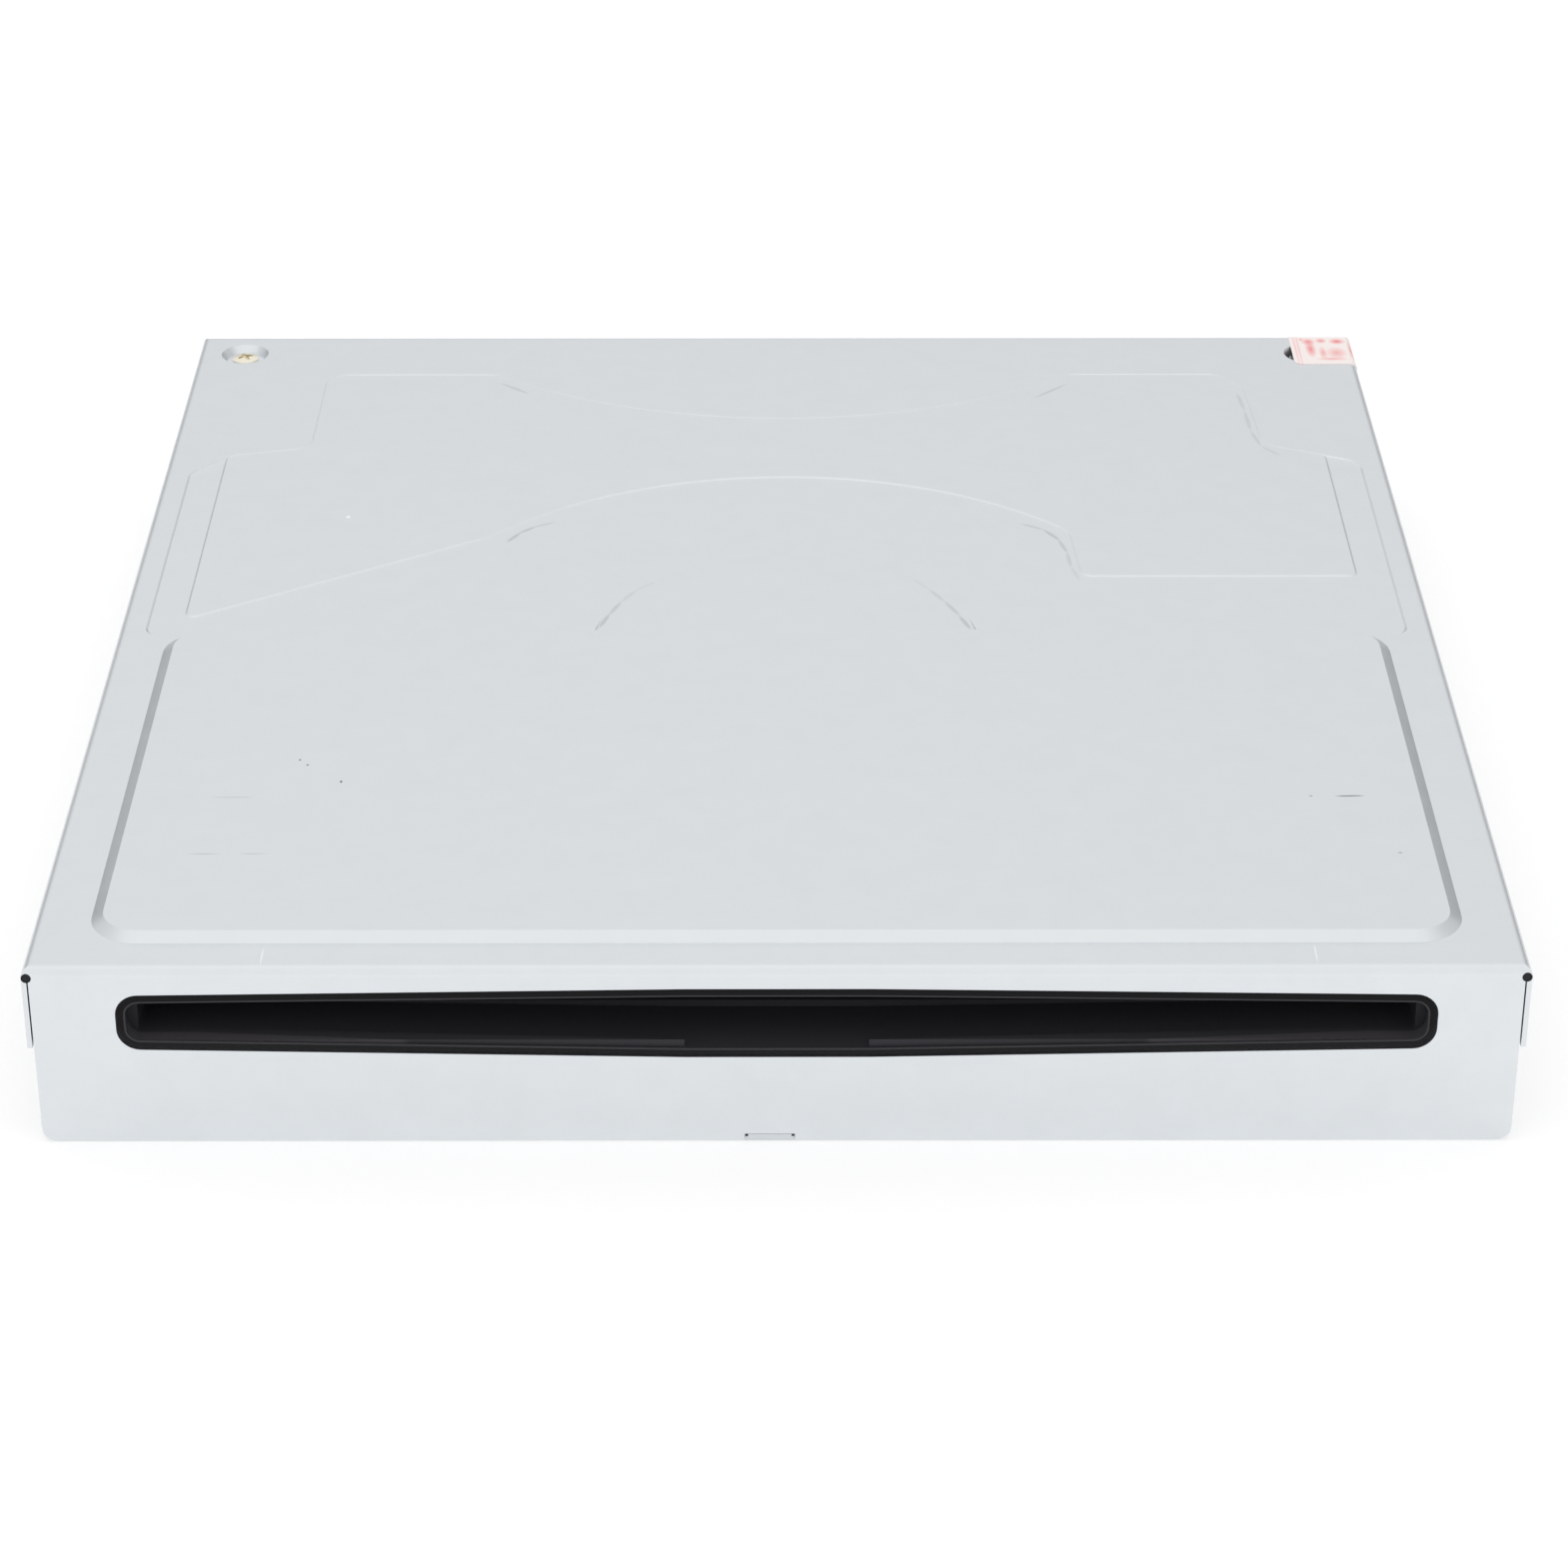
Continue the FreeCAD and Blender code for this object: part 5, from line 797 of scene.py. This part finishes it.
# Cover screws: small cross-head screws of yellow-passivated steel at the floor of the two rear
# dimples, their heads domed and their recess worn by the driver. Sizes are in mm.

DIMPLE_DEPTH = 0.8
HEAD_RADIUS = 1.62
HEAD_HEIGHT = 0.5
HEAD_DOME = 0.24
RECESS_HALF_LENGTH = 0.95
RECESS_HALF_WIDTH = 0.24
RECESS_DEPTH = 0.36
RECESS_ROOT = 1.25
RECESS_TAPER = 0.5
SHANK_RADIUS = 0.9
SHANK_LENGTH = 3.4
HEAD_RINGS = 44
HEAD_SEGMENTS = 120
LEFT_TURN = 28.0
RIGHT_TURN = -15.0

yellow_steel = make_plain("yellow_steel", "#F0EAD8", 0.2, metallic=1.0)


def head_height(radius, angle, turn):
    """Height of the head's top above its seat, in mm."""
    across = abs(radius * math.cos(angle - turn))
    along = abs(radius * math.sin(angle - turn))
    height = HEAD_HEIGHT - HEAD_DOME * (radius / HEAD_RADIUS) ** 2
    narrow, wide = min(across, along), max(across, along)
    taper = RECESS_HALF_WIDTH * (RECESS_ROOT - RECESS_TAPER * wide / RECESS_HALF_LENGTH)
    if wide < RECESS_HALF_LENGTH and narrow < taper:
        height -= RECESS_DEPTH
    return height


def make_cover_screw(name, node, turn):
    """Lathed screw whose head is a fine grid, lowered inside the cross."""
    low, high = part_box(node)
    centre = ((low[0] + high[0]) / 2, (low[1] + high[1]) / 2)
    seat = rim_z - DIMPLE_DEPTH / 1000
    rings = [
        (HEAD_RADIUS * ring / HEAD_RINGS, None) for ring in range(1, HEAD_RINGS + 1)
    ] + [(HEAD_RADIUS, 0.0), (SHANK_RADIUS, 0.0), (SHANK_RADIUS, -SHANK_LENGTH)]
    points = [(centre[0], centre[1], seat + head_height(0.0, 0.0, turn) / 1000)]
    for radius, level in rings:
        for segment in range(HEAD_SEGMENTS):
            angle = 2 * math.pi * segment / HEAD_SEGMENTS
            height = head_height(radius, angle, turn) if level is None else level
            points.append(
                (
                    centre[0] + radius * math.cos(angle) / 1000,
                    centre[1] + radius * math.sin(angle) / 1000,
                    seat + height / 1000,
                )
            )
    faces = []
    for segment in range(HEAD_SEGMENTS):
        after = (segment + 1) % HEAD_SEGMENTS
        faces.append((0, 1 + segment, 1 + after))
        for ring in range(len(rings) - 1):
            base = 1 + ring * HEAD_SEGMENTS
            above = base + HEAD_SEGMENTS
            faces.append((base + segment, above + segment, above + after, base + after))
    last = 1 + (len(rings) - 1) * HEAD_SEGMENTS
    faces.append(tuple(last + segment for segment in reversed(range(HEAD_SEGMENTS))))
    mesh = bpy.data.meshes.new(name)
    mesh.from_pydata(points, [], faces)
    mesh.update()
    screw = bpy.data.objects.new(name, mesh)
    bpy.context.collection.objects.link(screw)
    mesh.materials.append(yellow_steel)
    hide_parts(node)
    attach(screw, "housing")


make_cover_screw("rear_left_screw", "cover_screw_left", math.radians(LEFT_TURN))
make_cover_screw("rear_right_screw", "cover_screw_right", math.radians(RIGHT_TURN))


# Pickup sled: die-cast zinc, left as cast, so it is a dull grey metal with a slightly sandy
# surface. It slides on the two guide rods.

dress(make_plain("die_cast_zinc", "#B4B6BA", 0.45, metallic=1.0, grain=0.0008), "pickup_sled")


# Circuit board: glass-epoxy laminate under a smooth green solder mask, screwed down on raised
# pads of the tray.

dress(make_plain("solder_mask", "#1E4D33", 0.35), "circuit_board")


# Chips: square packages of black epoxy, soldered flat to the board. The mould leaves them matt,
# with a fine even grain.

dress(make_plain("chip_epoxy", "#1B1B1C", 0.6, grain=0.0004), "board_chips")


# Clamp magnet: a sintered ring in the puck with a dark nickel coat, which pulls the puck down to
# the steel rotor through the disc.

dress(make_plain("magnet_nickel", "#6E6F72", 0.4, metallic=1.0), "clamp_magnet")


# Stator of the spindle motor: coils of enamelled copper wire, wound round a star of stacked
# steel sheets. The enamel lets the copper's warm shine through.

dress(make_plain("copper_wire", "#B4764C", 0.35, metallic=1.0), "spindle_stator")


# Pickup lens: a tiny moulded lens with a bluish coat against reflections, glued into its black
# holder. It is the one mirror-smooth surface inside.

dress(make_plain("lens_blue", "#9DB0CF", 0.06, specular=0.8), "pickup_lens")


# Tamper seal: a thin pale film stuck over the rear right corner, with a generic printed pattern
# of soft pink bars and dots. Marks: colour, strength, place from the seal's front left corner in
# mm, half size.

SEAL_GROUND = "#FFF5F2"
SEAL_MARK_SOLID = 0.1
SEAL_ROUGHNESS = 0.5
SEAL_SPECULAR = 0.2
SEAL_MARKS = [
    ("#FBC9C9", 0.8, (0.55, 4.6), (0.2, 9.0)),
    ("#FBC9C9", 0.8, (0.95, 4.6), (0.2, 9.0)),
    ("#F99E9F", 1.0, (2.45, 4.6), (0.75, 2.9)),
    ("#F8A2A2", 1.0, (2.35, 6.9), (1.0, 1.2)),
    ("#F8A5A5", 1.0, (4.0, 7.2), (0.8, 0.9)),
    ("#F78F8F", 1.0, (6.0, 7.0), (1.15, 1.0)),
    ("#F9C0BE", 1.0, (5.6, 3.4), (1.5, 2.0)),
    ("#FAB4B3", 0.9, (3.9, 3.4), (0.6, 2.2)),
    ("#F2B0AE", 0.8, (1.5, 7.6), (0.4, 0.6)),
    ("#F9AEAF", 0.9, (7.5, 4.6), (0.35, 3.4)),
    ("#FAB9B9", 0.9, (4.9, 1.5), (2.4, 0.6)),
]


def make_seal(name):
    """Printed film: nearly white and slightly glossy, with print that fades at its edges."""
    low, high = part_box("tamper_seal")
    left, front = low[0] * 1000, (low[1] - FRONT_Y) * 1000
    material = blank_material(name)
    tree = material.node_tree
    place = add_node(tree, "ShaderNodeTexCoord")
    colour = None
    for code, strength, middle, half_size in SEAL_MARKS:
        centre = (left + middle[0], front + middle[1])
        mark = (code, strength, centre, half_size, 0.0)
        spot = paint_mark(tree, place, mark, SEAL_MARK_SOLID)
        if colour:
            tree.links.new(colour, spot.inputs[6])
        else:
            spot.inputs[6].default_value = srgb(SEAL_GROUND)
        colour = spot.outputs[2]
    film = add_node(
        tree,
        "ShaderNodeBsdfPrincipled",
        {"Roughness": SEAL_ROUGHNESS, "Specular IOR Level": SEAL_SPECULAR},
        {"Base Color": colour},
    )
    add_node(tree, "ShaderNodeOutputMaterial", links={"Surface": film.outputs[0]})
    return material


dress(make_seal("seal_film"), "tamper_seal")
